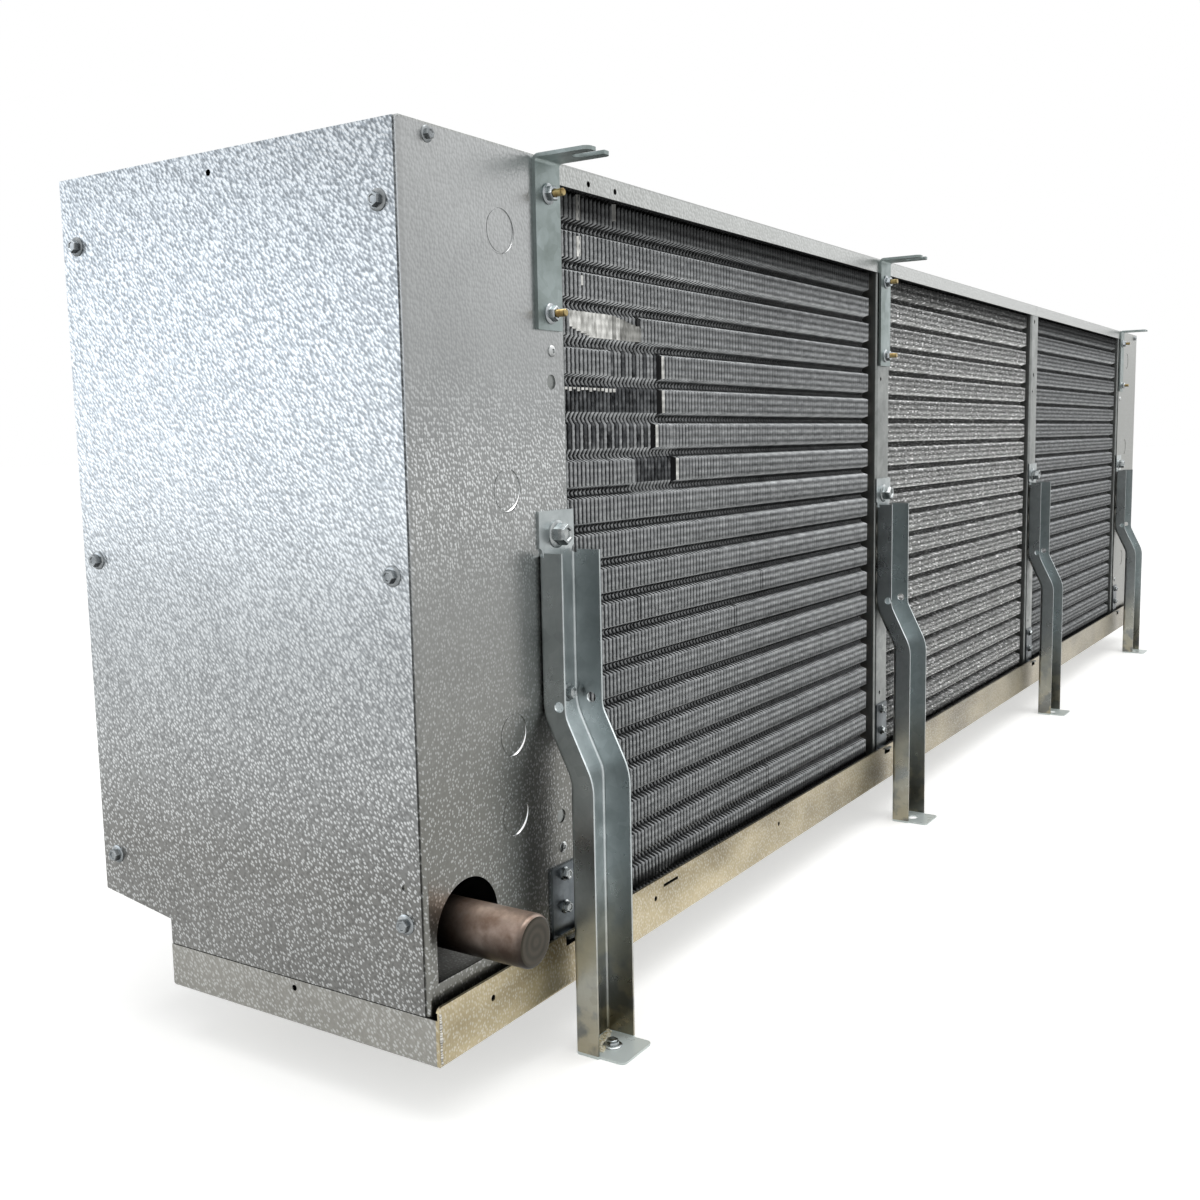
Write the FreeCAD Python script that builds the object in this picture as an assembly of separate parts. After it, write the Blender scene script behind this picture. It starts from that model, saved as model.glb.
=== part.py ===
import FreeCAD, Part
import math
import os

from FreeCAD import Vector

# A three-fan ceiling unit cooler, standing on its channel legs.
# X runs along the unit, Y from the coil (air-in) side to the fan side, Z up.
# The origin is on the floor, below the middle of the unit.

# Driving sizes of the cabinet
bay_count = 3
bay_pitch = 758.0
support_inset = 176.0
body_depth = 374.0
pan_clearance = 48.0
sheet = 1.2
sheet_bend = 1.5

# Coil
row_count = 20
row_pitch = 31.75
coil_depth = 138.0
fin_setback = 5.0
fin_notch_depth = 9.0
fin_notch_height = 11.0
fin_edge_round = 2.5
fin_end_gap = 20.0
fin_pan_gap = 36.8
fin_top_gap = 14.2
coil_tube_diameter = 15.9
coil_tube_inset = 19.0

# Posts that carry the coil bays
post_sheet = 2.0
post_flange = 41.0
post_pan_gap = 29.0
spare_hole_diameter = 7.0
post_hole_diameter = 5.0
post_holes = ((-8.0, 534.5), (-4.0, 120.0))

# Pipe compartment covers
cover_lap = 18.0
corner_strip = 4.5
corner_return = 27.0
cover_hole_diameter = 5.0
cover_hole_depth_share = 0.51
cover_hole_drop = 15.5
cover_low_hole_inset = 20.0
cover_low_hole_height = 135.0
rivet_hole_diameter = 12.0
rivet_hole_heights = (147.0, 510.0)
knockout_diameter = 34.4
knockout_inset = 112.5
knockout_heights = (165.0, 230.5, 425.0, 622.0)
knockout_recess = 0.4
knockout_groove_depth = 0.8
knockout_groove_width = 1.2

# Top cover
top_lip = 18.0
top_joint_gap = 0.8
lip_hole_diameter = 5.0
lip_hole_offsets = (61.0, 103.0)
lip_hole_drop = 11.0

# Pipe opening and suction stub
opening_centre_inset = 47.5
opening_width = 75.0
opening_sill = 61.0
opening_spring = 94.0
stub_diameter = 41.3
stub_height = 93.5
stub_reach = 64.0
stub_cap_round = 4.0
header_diameter = 54.0
header_inset = 78.0
header_socket_wall = 3.0
header_socket_length = 14.0
header_top_gap = 60.0
header_foot = 30.0
branch_diameter = 12.7
branch_rows = 2

# Drain pan
pan_sheet = 1.2
pan_depth = 289.0
pan_side_wall = 38.0
pan_coil_wall = 48.0
pan_coil_overhang = 9.0
pan_end_overhang = 0.6
pan_bend = 2.5
pan_hem = 4.0
pan_cover_gap = 0.4
pan_rim_round = 5.0
pan_riser_gap = 1.0
pan_slot_width = 20.0
pan_slot_height = 8.0
pan_hole_diameter = 5.0
pan_hole_height = 31.0
pan_hole_insets = (64.0, 316.0, 590.0)
pan_end_hole_depth = 141.0
pan_slit_inset = 345.0
pan_slit_length = 28.0
pan_slit_height = 39.0
pan_slit_width = 3.0
spout_diameter = 33.4
spout_wall = 3.4
spout_length = 38.0
spout_flange_diameter = 52.0
spout_flange_thickness = 2.0

# Sloped bottom of the fan section
fan_sill = 73.0
bottom_far_height = 60.0
bottom_lip = 20.0
bottom_upstand = 26.0

# Pan brackets
bracket_sheet = 2.0
bracket_width = 36.0
bracket_top = 105.0
bracket_foot = 30.0
bracket_tab_width = 16.0
bracket_tab_reach = 3.0

# Ceiling hangers, on the posts that have one, from the left end
post_has_hanger = (True, True, False, True)
hanger_width = 34.0
hanger_shift = 3.0
hanger_thickness = 3.0
hanger_drop = 135.0
hanger_flange = 53.0
hanger_bend = 3.0
fork_slot_width = 12.0
fork_slot_depth = 25.0
fork_tip_round = 6.0
hanger_stud_high = 28.5
hanger_stud_pitch = 93.5

# Channel legs
leg_width = 50.0
leg_near_flange = 23.0
leg_far_flange = 28.0
leg_sheet = 2.0
leg_bend = 2.5
leg_top = 406.0
leg_tab = 33.5
leg_notch = 7.0
leg_jog = 26.0
leg_jog_top = 240.0
leg_jog_bottom = 187.0
leg_jog_radius = 22.0
leg_hole_diameter = 9.0
leg_hole_height = 247.0
leg_hole_inset = 17.5
foot_reach = 47.0
foot_corner = 5.0
foot_slot_width = 11.0
foot_slot_length = 18.0
foot_slot_reach = 21.0

# Fans
fan_orifice = 508.0
fan_collar_depth = 36.0
fan_collar_round = 10.0
blade_count = 5
blade_tip_gap = 8.0
blade_thickness = 2.0
blade_root_chord = 105.0
blade_tip_chord = 175.0
blade_root_pitch = 40.0
blade_tip_pitch = 21.0
blade_camber = 0.09
blade_setback = 52.0
hub_diameter = 100.0
hub_length = 44.0
motor_diameter = 128.0
motor_blade_gap = 7.0
motor_strap_width = 50.0
motor_strap_thickness = 3.0
motor_strap_offset = 150.0
motor_strap_margin = 34.0
motor_strap_foot = 22.0
guard_wire = 4.0
guard_stand = 12.0
guard_margin = 20.0
guard_ring_count = 5
guard_hub_radius = 62.0
guard_spokes = 8

# Sizes worked out from the driving ones
hanger_posts = [i for i, has_one in enumerate(post_has_hanger) if has_one]
coil_height = row_count * row_pitch
body_height = fin_pan_gap + coil_height + fin_top_gap
unit_length = 2 * support_inset + bay_count * bay_pitch
left_end = -unit_length / 2
right_end = unit_length / 2
coil_face = -body_depth / 2
fan_face = body_depth / 2
pan_floor = pan_clearance
cabinet_top = pan_floor + body_height
cover_underside = cabinet_top - sheet
post_face = coil_face + sheet
fan_inner_face = fan_face - sheet
support_x = [left_end + support_inset + i * bay_pitch for i in range(bay_count + 1)]
support_count = len(support_x)
pan_far_wall = coil_face + pan_depth
cover_sill = pan_floor + pan_side_wall + pan_cover_gap
coil_bottom = pan_floor + fin_pan_gap
stud_heights = (cabinet_top - hanger_stud_high, cabinet_top - hanger_stud_high - hanger_stud_pitch)
X_AXIS = Vector(1, 0, 0)
Y_AXIS = Vector(0, 1, 0)
Z_AXIS = Vector(0, 0, 1)
ORIGIN = Vector(0, 0, 0)


# Profiles and sheet-metal helpers

def point_on(axis, u, v, level=0.0):
    """A space point from two profile coordinates across an axis."""
    if axis == "X":
        return Vector(level, u, v)
    if axis == "Y":
        return Vector(u, level, v)
    return Vector(u, v, level)


def rounded_wire(points, radii, axis, level=0.0):
    """A closed wire through the corners, each rounded with its own radius."""
    corners = [Vector(u, v, 0) for u, v in points]
    count = len(corners)
    cuts = []
    for i, corner in enumerate(corners):
        before = (corners[i - 1] - corner).normalize()
        after = (corners[(i + 1) % count] - corner).normalize()
        radius = radii[i]
        half = math.acos(max(-1.0, min(1.0, before.dot(after)))) / 2
        if radius <= 0 or half > math.pi / 2 - 1e-6:
            cuts.append((corner, None, corner))
            continue
        back = radius / math.tan(half)
        inward = (before + after).normalize()
        middle = corner + inward * (radius / math.sin(half) - radius)
        cuts.append((corner + before * back, middle, corner + after * back))
    edges = []
    for i, (start, middle, end) in enumerate(cuts):
        last = cuts[i - 1][2]
        if (start - last).Length > 1e-6:
            edges.append(line_edge(last, start, axis, level))
        if middle is not None:
            ends = [point_on(axis, p.x, p.y, level) for p in (start, middle, end)]
            edges.append(Part.Arc(*ends).toShape())
    return Part.Wire(edges)


def line_edge(start, end, axis, level):
    """A straight edge between two profile points."""
    first = point_on(axis, start.x, start.y, level)
    second = point_on(axis, end.x, end.y, level)
    return Part.LineSegment(first, second).toShape()


def prism(points, radii, axis, low, high):
    """The solid of a rounded outline between two levels of an axis."""
    face = Part.Face(rounded_wire(points, radii, axis, low))
    return face.extrude(point_on(axis, 0, 0, high - low))


def plain_prism(points, axis, low, high):
    """The solid of an outline with sharp corners."""
    return prism(points, [0] * len(points), axis, low, high)


def folded_outline(path, thickness, bend):
    """Outline of sheet folded along a path, its thickness to the path's left."""
    track = [Vector(u, v, 0) for u, v in path]
    steps = [(b - a).normalize() for a, b in zip(track, track[1:])]
    normals = [Vector(-s.y, s.x, 0) for s in steps]
    near = [(track[0], 0)]
    far = [(track[0] + normals[0] * thickness, 0)]
    for i in range(1, len(track) - 1):
        turn = steps[i - 1].x * steps[i].y - steps[i - 1].y * steps[i].x
        bisector = normals[i - 1] + normals[i]
        shift = bisector * (thickness / (1 + normals[i - 1].dot(normals[i])))
        inner, outer = bend, bend + thickness
        near.append((track[i], outer if turn > 0 else inner))
        far.append((track[i] + shift, inner if turn > 0 else outer))
    near.append((track[-1], 0))
    far.append((track[-1] + normals[-1] * thickness, 0))
    ring = near + far[::-1]
    return [(p.x, p.y) for p, r in ring], [r for p, r in ring]


def folded_sheet(path, thickness, bend, axis, low, high):
    """Sheet folded along a path and drawn out between two levels of an axis."""
    points, radii = folded_outline(path, thickness, bend)
    return prism(points, radii, axis, low, high)


def block(x_range, y_range, z_range):
    """A box from its low and high coordinates."""
    size = [high - low for low, high in (x_range, y_range, z_range)]
    return Part.makeBox(*size, Vector(x_range[0], y_range[0], z_range[0]))


def rod(diameter, start, direction, length):
    """A round bar."""
    return Part.makeCylinder(diameter / 2, length, start, direction)


def mirror_x(shape):
    """The same piece at the other end of the unit."""
    return shape.mirror(ORIGIN, X_AXIS)


def mirror_y(shape):
    """The same piece on the other side of the unit."""
    return shape.mirror(ORIGIN, Y_AXIS)


def fused(shapes):
    """One clean solid from touching or crossing shapes."""
    return shapes[0].multiFuse(shapes[1:]).removeSplitter()


# End covers and compartment panels

def end_cover(with_holes):
    """Flat plate over the left end, stepped where the pan and the sloped bottom meet it."""
    outline = [
        (coil_face + corner_strip, cover_sill),
        (pan_far_wall, cover_sill),
        (pan_far_wall, pan_floor + bottom_far_height),
        (fan_face, pan_floor + fan_sill),
        (fan_face, cabinet_top),
        (coil_face + corner_strip, cabinet_top),
    ]
    plate = plain_prism(outline, "X", left_end - sheet, left_end)
    if not with_holes:
        return plate
    top_hole = Vector(left_end - 2 * sheet, coil_face + cover_hole_depth_share * body_depth,
                      cabinet_top - cover_hole_drop)
    low_hole = Vector(left_end - 2 * sheet, coil_face + cover_low_hole_inset,
                      pan_floor + cover_low_hole_height)
    for place in (top_hole, low_hole):
        plate = plate.cut(rod(cover_hole_diameter, place, X_AXIS, 3 * sheet))
    return plate


def back_panel():
    """Coil-side cover of the left compartment, folded round the corner under the end cover."""
    right_edge = support_x[0] + cover_lap
    path = [
        (left_end, coil_face + corner_return),
        (left_end, coil_face),
        (right_edge, coil_face),
    ]
    panel = folded_sheet(path, sheet, sheet_bend, "Z", cover_sill, cover_underside)
    for height in knockout_heights:
        panel = panel.cut(knockout_cut(left_end + knockout_inset, pan_floor + height))
    return panel


def knockout_cut(x, z):
    """A half-punched slug: set back a little inside a deeper ring."""
    outside = Vector(x, coil_face - sheet, z)
    slug = rod(knockout_diameter, outside, Y_AXIS, sheet + knockout_recess)
    ring = rod(knockout_diameter, outside, Y_AXIS, sheet + knockout_groove_depth)
    core = rod(knockout_diameter - 2 * knockout_groove_width, outside, Y_AXIS, 3 * sheet)
    return slug.fuse(ring.cut(core))


def left_back_panel():
    """The compartment cover with its pipe opening and two empty rivet holes."""
    panel = back_panel()
    centre_x = left_end + opening_centre_inset
    half = opening_width / 2
    sill = pan_floor + opening_sill
    spring = pan_floor + opening_spring
    cut_depth = 4 * sheet
    low_face = coil_face - sheet
    doorway = block((centre_x - half, centre_x + half), (low_face, low_face + cut_depth), (sill, spring))
    arch = rod(opening_width, Vector(centre_x, low_face, spring), Y_AXIS, cut_depth)
    under = block((centre_x - opening_width, centre_x + opening_width), (low_face - sheet, low_face + 2 * cut_depth),
                  (sill - opening_width, sill))
    panel = panel.cut(doorway.fuse(arch).cut(under))
    for height in rivet_hole_heights:
        place = Vector(support_x[0], low_face, pan_floor + height)
        panel = panel.cut(rod(rivet_hole_diameter, place, Y_AXIS, cut_depth))
    return panel


def front_panel():
    """Fan-side cover of the left compartment, up to the middle of the first post."""
    path = [
        (support_x[0], fan_face),
        (left_end, fan_face),
        (left_end, fan_face - corner_return),
    ]
    return folded_sheet(path, sheet, sheet_bend, "Z", pan_floor + fan_sill, cover_underside)


def top_cover():
    """Top sheets with a lip turned down over the coil, butted over the last but one post."""
    lip_left = support_x[0] + cover_lap
    lip_right = support_x[-1] - cover_lap
    path = [
        (fan_face, cabinet_top),
        (coil_face, cabinet_top),
        (coil_face, cabinet_top - top_lip),
    ]
    middle = folded_sheet(path, sheet, sheet_bend, "X", lip_left, lip_right)
    left = block((left_end, lip_left), (coil_face, fan_face), (cover_underside, cabinet_top))
    cover = fused([middle, left, mirror_x(left)])
    for offset in lip_hole_offsets:
        place = Vector(support_x[0] + offset, coil_face - sheet, cabinet_top - lip_hole_drop)
        cover = cover.cut(rod(lip_hole_diameter, place, Y_AXIS, 3 * sheet))
    joint = support_x[-2]
    gap = block((joint - top_joint_gap / 2, joint + top_joint_gap / 2), (coil_face - sheet, fan_face + sheet),
                (cabinet_top - top_lip - sheet, cabinet_top + sheet))
    return cover.cut(gap)


# Coil

def tube_sheet(index):
    """Flanged post across the cabinet, its flanges turned towards the right."""
    x = support_x[index]
    half = post_flange / 2
    path = [
        (x + half, fan_inner_face),
        (x - half, fan_inner_face),
        (x - half, post_face),
        (x + half, post_face),
    ]
    bottom = pan_floor + post_pan_gap
    post = folded_sheet(path, post_sheet, sheet_bend, "Z", bottom, cover_underside)
    for offset, height in post_holes:
        place = Vector(x + offset, coil_face, pan_floor + height)
        post = post.cut(rod(post_hole_diameter, place, Y_AXIS, post_sheet + 2 * sheet))
    return post.cut(space_below_sloped_bottom())


def space_below_sloped_bottom():
    """What lies under the sloped bottom panel and beyond the pan's far wall."""
    near = pan_far_wall - pan_sheet - pan_riser_gap
    step = pan_floor + bottom_far_height + sheet
    outline = [
        (near, pan_floor),
        (fan_face + sheet, pan_floor),
        (fan_face + sheet, pan_floor + fan_sill + bottom_upstand + sheet),
        (fan_inner_face - sheet - sheet_bend, pan_floor + fan_sill + bottom_upstand + sheet),
        (fan_inner_face - sheet - sheet_bend, pan_floor + fan_sill + sheet + pan_riser_gap),
        (near, step + pan_riser_gap),
    ]
    return plain_prism(outline, "X", left_end - sheet, right_end + sheet)


def spare_hanger_holes(post, x):
    """Two empty holes where a further hanger can be bolted."""
    for height in stud_heights:
        place = Vector(x, coil_face, height)
        post = post.cut(rod(spare_hole_diameter, place, Y_AXIS, post_sheet + 2 * sheet))
    return post


def fin_outline():
    """Side view of the fin pack: a scallop for each tube row along its front edge."""
    front = coil_face + fin_setback
    back = front + coil_depth
    points = []
    radii = []
    for row in range(row_count):
        low = coil_bottom + row * row_pitch
        if row == 0:
            points.append((front, low))
            radii.append(0)
        else:
            points.append((front + fin_notch_depth, low))
            points.append((front, low + fin_notch_height / 2))
            radii.extend([0, fin_edge_round])
        if row == row_count - 1:
            points.append((front, low + row_pitch))
            radii.append(0)
        else:
            points.append((front, low + row_pitch - fin_notch_height / 2))
            radii.append(fin_edge_round)
    points.append((back, coil_bottom + coil_height))
    points.append((back, coil_bottom))
    radii.extend([0, 0])
    return points, radii


def fin_pack(bay):
    """One bay of fins as one block, with its front tube row reaching the next post."""
    start = support_x[bay] - post_flange / 2 + post_sheet
    next_post = support_x[bay + 1] - post_flange / 2
    end = next_post - fin_end_gap
    points, radii = fin_outline()
    pieces = [prism(points, radii, "X", start, end)]
    tube_y = coil_face + fin_setback + coil_tube_inset
    for row in range(row_count):
        height = coil_bottom + (row + 0.5) * row_pitch
        pieces.append(rod(coil_tube_diameter, Vector(end, tube_y, height), X_AXIS, fin_end_gap))
    return fused(pieces)


def suction_header():
    """Upright header in the left compartment, its branches and the capped stub."""
    x = left_end + opening_centre_inset
    header_y = coil_face + header_inset
    foot = pan_floor + stub_height - header_foot
    head = cabinet_top - header_top_gap
    header = rod(header_diameter, Vector(x, header_y, foot), Z_AXIS, head - foot)
    stub_end = coil_face - stub_reach
    stub_z = pan_floor + stub_height
    stub = rod(stub_diameter, Vector(x, header_y, stub_z), -Y_AXIS, header_y - stub_end)
    cap_edges = [e for e in stub.Edges if e.BoundBox.YMax < stub_end + stub_cap_round]
    stub = stub.makeFillet(stub_cap_round, cap_edges)
    socket_face = header_y - header_diameter / 2 - header_socket_length
    socket_diameter = stub_diameter + 2 * header_socket_wall
    socket = rod(socket_diameter, Vector(x, socket_face, stub_z), Y_AXIS, header_y - socket_face)
    pieces = [header, stub, socket]
    post_side = support_x[0] - post_flange / 2
    for row in range(branch_rows, row_count - 1, branch_rows):
        height = coil_bottom + (row + 0.5) * row_pitch
        pieces.append(rod(branch_diameter, Vector(x, header_y, height), X_AXIS, post_side - x))
    return fused(pieces)


# Drain pan

def drain_pan():
    """Shallow pan under the coil, with a tall hemmed wall on the coil side."""
    x_low = left_end - pan_end_overhang - pan_sheet
    x_high = -x_low
    y_low = coil_face - pan_coil_overhang
    y_high = pan_far_wall
    wall_top = pan_floor + pan_side_wall
    outer = block((x_low, x_high), (y_low, y_high), (pan_floor, wall_top))
    bottom_edges = [e for e in outer.Edges if e.BoundBox.ZMax < pan_floor + 1e-6]
    outer = outer.makeFillet(pan_bend + pan_sheet, bottom_edges)
    inner = block((x_low + pan_sheet, x_high - pan_sheet), (y_low + pan_sheet, y_high - pan_sheet),
                  (pan_floor + pan_sheet, wall_top + pan_coil_wall))
    floor_edges = [e for e in inner.Edges if e.BoundBox.ZMax < pan_floor + pan_sheet + 1e-6]
    inner = inner.makeFillet(pan_bend, floor_edges)
    tray = outer.cut(inner)
    rim_top = pan_floor + pan_coil_wall
    rim = block((x_low, x_high), (y_low, y_low + pan_sheet), (wall_top, rim_top))
    hem = block((x_low, x_high), (y_low, y_low + 2 * pan_sheet), (rim_top - pan_hem, rim_top))
    rim = fused([rim, hem])
    top_corners = [e for e in rim.Edges if is_rim_corner(e, rim_top)]
    rim = rim.makeFillet(pan_rim_round, top_corners)
    riser_end = left_end + pan_riser_gap
    riser = block((riser_end, -riser_end), (y_high - pan_sheet, y_high),
                  (wall_top, pan_floor + bottom_far_height - pan_riser_gap))
    pan = fused([tray, rim, riser])
    for tool in pan_cutters(x_low, y_low, rim_top):
        pan = pan.cut(tool)
    return pan


def is_rim_corner(edge, rim_top):
    """Whether an edge is an upper end corner of the rim."""
    box = edge.BoundBox
    across = box.YLength > pan_sheet / 2 and box.XLength < 1e-6
    return across and box.ZLength < 1e-6 and abs(box.ZMax - rim_top) < 1e-6 and abs(box.XMin) > right_end


def pan_cutters(x_low, y_low, rim_top):
    """Slots for the bracket tabs, small holes in the walls and the drain hole."""
    tools = []
    slot_top = rim_top - pan_hem + pan_sheet
    for x in support_x:
        half = pan_slot_width / 2
        tools.append(block((x - half, x + half), (y_low - pan_sheet, y_low + 3 * pan_sheet),
                           (slot_top - pan_slot_height, slot_top)))
    for inset in pan_hole_insets:
        place = Vector(left_end + inset, y_low - pan_sheet, pan_floor + pan_hole_height)
        tools.append(rod(pan_hole_diameter, place, Y_AXIS, 3 * pan_sheet))
    slit_start = left_end + pan_slit_inset - pan_slit_length / 2
    slit_low = pan_floor + pan_slit_height - pan_slit_width / 2
    tools.append(block((slit_start, slit_start + pan_slit_length), (y_low - pan_sheet, y_low + 2 * pan_sheet),
                       (slit_low, slit_low + pan_slit_width)))
    end_hole = Vector(x_low - pan_sheet, coil_face + pan_end_hole_depth, pan_floor + pan_hole_height)
    tools.append(rod(pan_hole_diameter, end_hole, X_AXIS, 3 * pan_sheet))
    drain_x, drain_y = drain_place()
    bore = spout_diameter - 2 * spout_wall
    tools.append(rod(bore, Vector(drain_x, drain_y, pan_floor - pan_sheet), Z_AXIS, 4 * pan_sheet))
    return tools


def drain_place():
    """The drain is in the middle of the pan."""
    return 0.0, coil_face + (pan_depth - pan_coil_overhang) / 2


def drain_spout():
    """Threaded pipe stub with a flange against the pan's underside."""
    x, y = drain_place()
    flange_low = pan_floor - spout_flange_thickness
    flange = rod(spout_flange_diameter, Vector(x, y, flange_low), Z_AXIS, spout_flange_thickness)
    pipe = rod(spout_diameter, Vector(x, y, pan_floor - spout_length), Z_AXIS, spout_length)
    bore = rod(spout_diameter - 2 * spout_wall, Vector(x, y, 0), Z_AXIS, pan_floor + spout_length)
    return fused([flange, pipe]).cut(bore)


def bottom_panel():
    """Sloped sheet from behind the fan panels down over the pan's far wall."""
    upstand_y = fan_inner_face - sheet
    path = [
        (upstand_y, pan_floor + fan_sill + bottom_upstand),
        (upstand_y, pan_floor + fan_sill),
        (pan_far_wall, pan_floor + bottom_far_height),
        (pan_far_wall, pan_floor + bottom_far_height - bottom_lip),
    ]
    end = left_end + sheet + sheet_bend
    return folded_sheet(path, sheet, sheet_bend, "X", end, -end)


def pan_bracket(index):
    """Plate on a post's foot with a tab through the slot of the pan's rim."""
    x = support_x[index]
    back = seat_y(index)
    half = bracket_width / 2
    plate = block((x - half, x + half), (back - bracket_sheet, back),
                  (pan_floor + bracket_foot, pan_floor + bracket_top))
    slot_top = pan_floor + pan_coil_wall - pan_hem + pan_sheet
    tab_half = bracket_tab_width / 2
    tab_end = coil_face - pan_coil_overhang - bracket_tab_reach
    tab = block((x - tab_half, x + tab_half), (tab_end, back - bracket_sheet / 2),
                (slot_top - bracket_sheet, slot_top))
    return fused([plate, tab])


def seat_y(index):
    """The coil-side surface at a post: the compartment panel's or the post's own."""
    return coil_face if index in (0, support_count - 1) else post_face


# Hangers and legs

def hanger(index):
    """Angle bracket on a post, its top flange forked for a hanging rod."""
    x = support_x[index] - hanger_shift
    half = hanger_width / 2
    path = [
        (coil_face, cabinet_top - hanger_drop),
        (coil_face, cabinet_top),
        (coil_face - hanger_flange, cabinet_top),
    ]
    strap = folded_sheet(path, hanger_thickness, hanger_bend, "X", x - half, x + half)
    tip_y = coil_face - hanger_flange
    under = cabinet_top - 2 * hanger_thickness
    over = cabinet_top + hanger_thickness
    slot_half = fork_slot_width / 2
    slot_end = tip_y + fork_slot_depth - slot_half
    slot = block((x - slot_half, x + slot_half), (tip_y - hanger_thickness, slot_end), (under, over))
    round_end = rod(fork_slot_width, Vector(x, slot_end, under), Z_AXIS, over - under)
    fork = strap.cut(slot.fuse(round_end))
    tips = [e for e in fork.Edges if is_fork_tip(e, x, tip_y, half)]
    return fork.makeFillet(fork_tip_round, tips)


def is_fork_tip(edge, x, tip_y, half):
    """Whether an edge is an outer corner of the fork's tips."""
    box = edge.BoundBox
    upright = box.ZLength > hanger_thickness / 2 and box.XLength < 1e-6
    return upright and abs(box.YMin - tip_y) < 1e-6 and abs(abs(box.XMin - x) - half) < 1e-6


def jog_band(seat, depth, low, high):
    """Side view of the leg between its back and a given depth, from low to high."""
    path = [
        (seat, high),
        (seat, pan_floor + leg_jog_top),
        (seat - leg_jog, pan_floor + leg_jog_bottom),
        (seat - leg_jog, low),
    ]
    track = [Vector(u, v, 0) for u, v in path]
    front = [Vector(p.x - depth, p.y, 0) for p in track]
    back_radii = [0, leg_jog_radius + leg_far_flange, leg_jog_radius, 0]
    front_radii = [0, leg_jog_radius + leg_far_flange - depth, leg_jog_radius + depth, 0]
    ring = list(zip(track, back_radii)) + list(zip(front, front_radii))[::-1]
    return [(p.x, p.y) for p, r in ring], [r for p, r in ring]


def leg(x, seat):
    """Jogged channel leg bolted flat on a surface of the cabinet, with a foot turned outwards."""
    half = leg_width / 2
    flange_top = pan_floor + leg_top - leg_tab
    near = leg_half(seat, leg_near_flange, x, x - half, flange_top)
    far = leg_half(seat, leg_far_flange, x, x + half, flange_top)
    channel = fused([near, far])
    tab = block((x - half, x + half), (seat - leg_sheet, seat), (flange_top, pan_floor + leg_top))
    foot_half = half - leg_sheet
    web = seat - leg_jog
    foot_points = [
        (x - foot_half, web - leg_sheet / 2),
        (x - foot_half, web - foot_reach),
        (x + foot_half, web - foot_reach),
        (x + foot_half, web - leg_sheet / 2),
    ]
    foot = prism(foot_points, [0, foot_corner, foot_corner, 0], "Z", 0, leg_sheet)
    piece = fused([channel, tab, foot])
    for tool in leg_cutters(x, seat, half, flange_top, web):
        piece = piece.cut(tool)
    return piece


def leg_half(seat, flange, middle, edge, flange_top):
    """One half of the channel, from its middle line to a flange with a rounded bend."""
    side = 1 if edge > middle else -1
    points, radii = jog_band(seat, flange, 0, flange_top)
    outer = prism(points, radii, "X", min(middle, edge), max(middle, edge))
    outer = outer.makeFillet(leg_bend + leg_sheet, back_edges(outer, edge))
    wall = edge - side * leg_sheet
    beyond = middle - side * leg_sheet
    points, radii = jog_band(seat - leg_sheet, flange, -leg_sheet, flange_top + leg_sheet)
    hollow = prism(points, radii, "X", min(beyond, wall), max(beyond, wall))
    hollow = hollow.makeFillet(leg_bend, back_edges(hollow, wall))
    return outer.cut(hollow)


def back_edges(shape, edge_x):
    """The edges down the back of a jogged prism, at one of its two ends."""
    found = []
    for edge in shape.Edges:
        box = edge.BoundBox
        middle = edge.valueAt((edge.FirstParameter + edge.LastParameter) / 2)
        behind = Vector(shape.CenterOfMass.x, middle.y + leg_sheet / 2, middle.z)
        at_end = box.XLength < 1e-6 and abs(middle.x - edge_x) < 1e-6
        if at_end and box.ZLength > leg_sheet and not shape.isInside(behind, 1e-3, True):
            found.append(edge)
    return found


def leg_cutters(x, seat, half, flange_top, web):
    """Relief notches below the tab, the slot in the foot, and the hole that lines up along the unit."""
    tools = []
    for side in (-1, 1):
        place = Vector(x + side * half, seat - 3 * leg_sheet, flange_top)
        tools.append(rod(leg_notch, place, Y_AXIS, 4 * leg_sheet))
    cross = Vector(x - half - leg_sheet, coil_face - leg_hole_inset, pan_floor + leg_hole_height)
    tools.append(rod(leg_hole_diameter, cross, X_AXIS, leg_width + 2 * leg_sheet))
    slot_y = web - foot_slot_reach
    straight = (foot_slot_length - foot_slot_width) / 2
    slot = block((x - straight, x + straight), (slot_y - foot_slot_width / 2, slot_y + foot_slot_width / 2),
                 (-leg_sheet, 2 * leg_sheet))
    ends = [rod(foot_slot_width, Vector(x + side * straight, slot_y, -leg_sheet), Z_AXIS, 3 * leg_sheet)
            for side in (-1, 1)]
    tools.append(slot.fuse(ends[0]).fuse(ends[1]))
    return tools


# Fans

def fan_centre(bay):
    """Middle of a bay's fan panel."""
    x = (support_x[bay] + support_x[bay + 1]) / 2
    z = (pan_floor + fan_sill + cover_underside) / 2
    return x, z


def fan_panel(bay):
    """Flat panel with a round opening and its rolled collar."""
    x, z = fan_centre(bay)
    plate = block((support_x[bay], support_x[bay + 1]), (fan_inner_face, fan_face),
                  (pan_floor + fan_sill, cover_underside))
    radius = fan_orifice / 2
    collar_end = fan_face - fan_collar_depth
    path = [
        (radius + fan_collar_round + 2 * sheet, fan_face),
        (radius, fan_face),
        (radius, collar_end),
    ]
    points, radii = folded_outline(path, sheet, fan_collar_round - sheet)
    section = rounded_wire([(x + u, v) for u, v in points], radii, "Z", z)
    collar = Part.Face(section).revolve(Vector(x, 0, z), Y_AXIS, 360)
    rim = 2 * (radius + fan_collar_round + sheet)
    plate = plate.cut(rod(rim, Vector(x, fan_inner_face - sheet, z), Y_AXIS, 3 * sheet))
    return fused([plate, collar])


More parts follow.
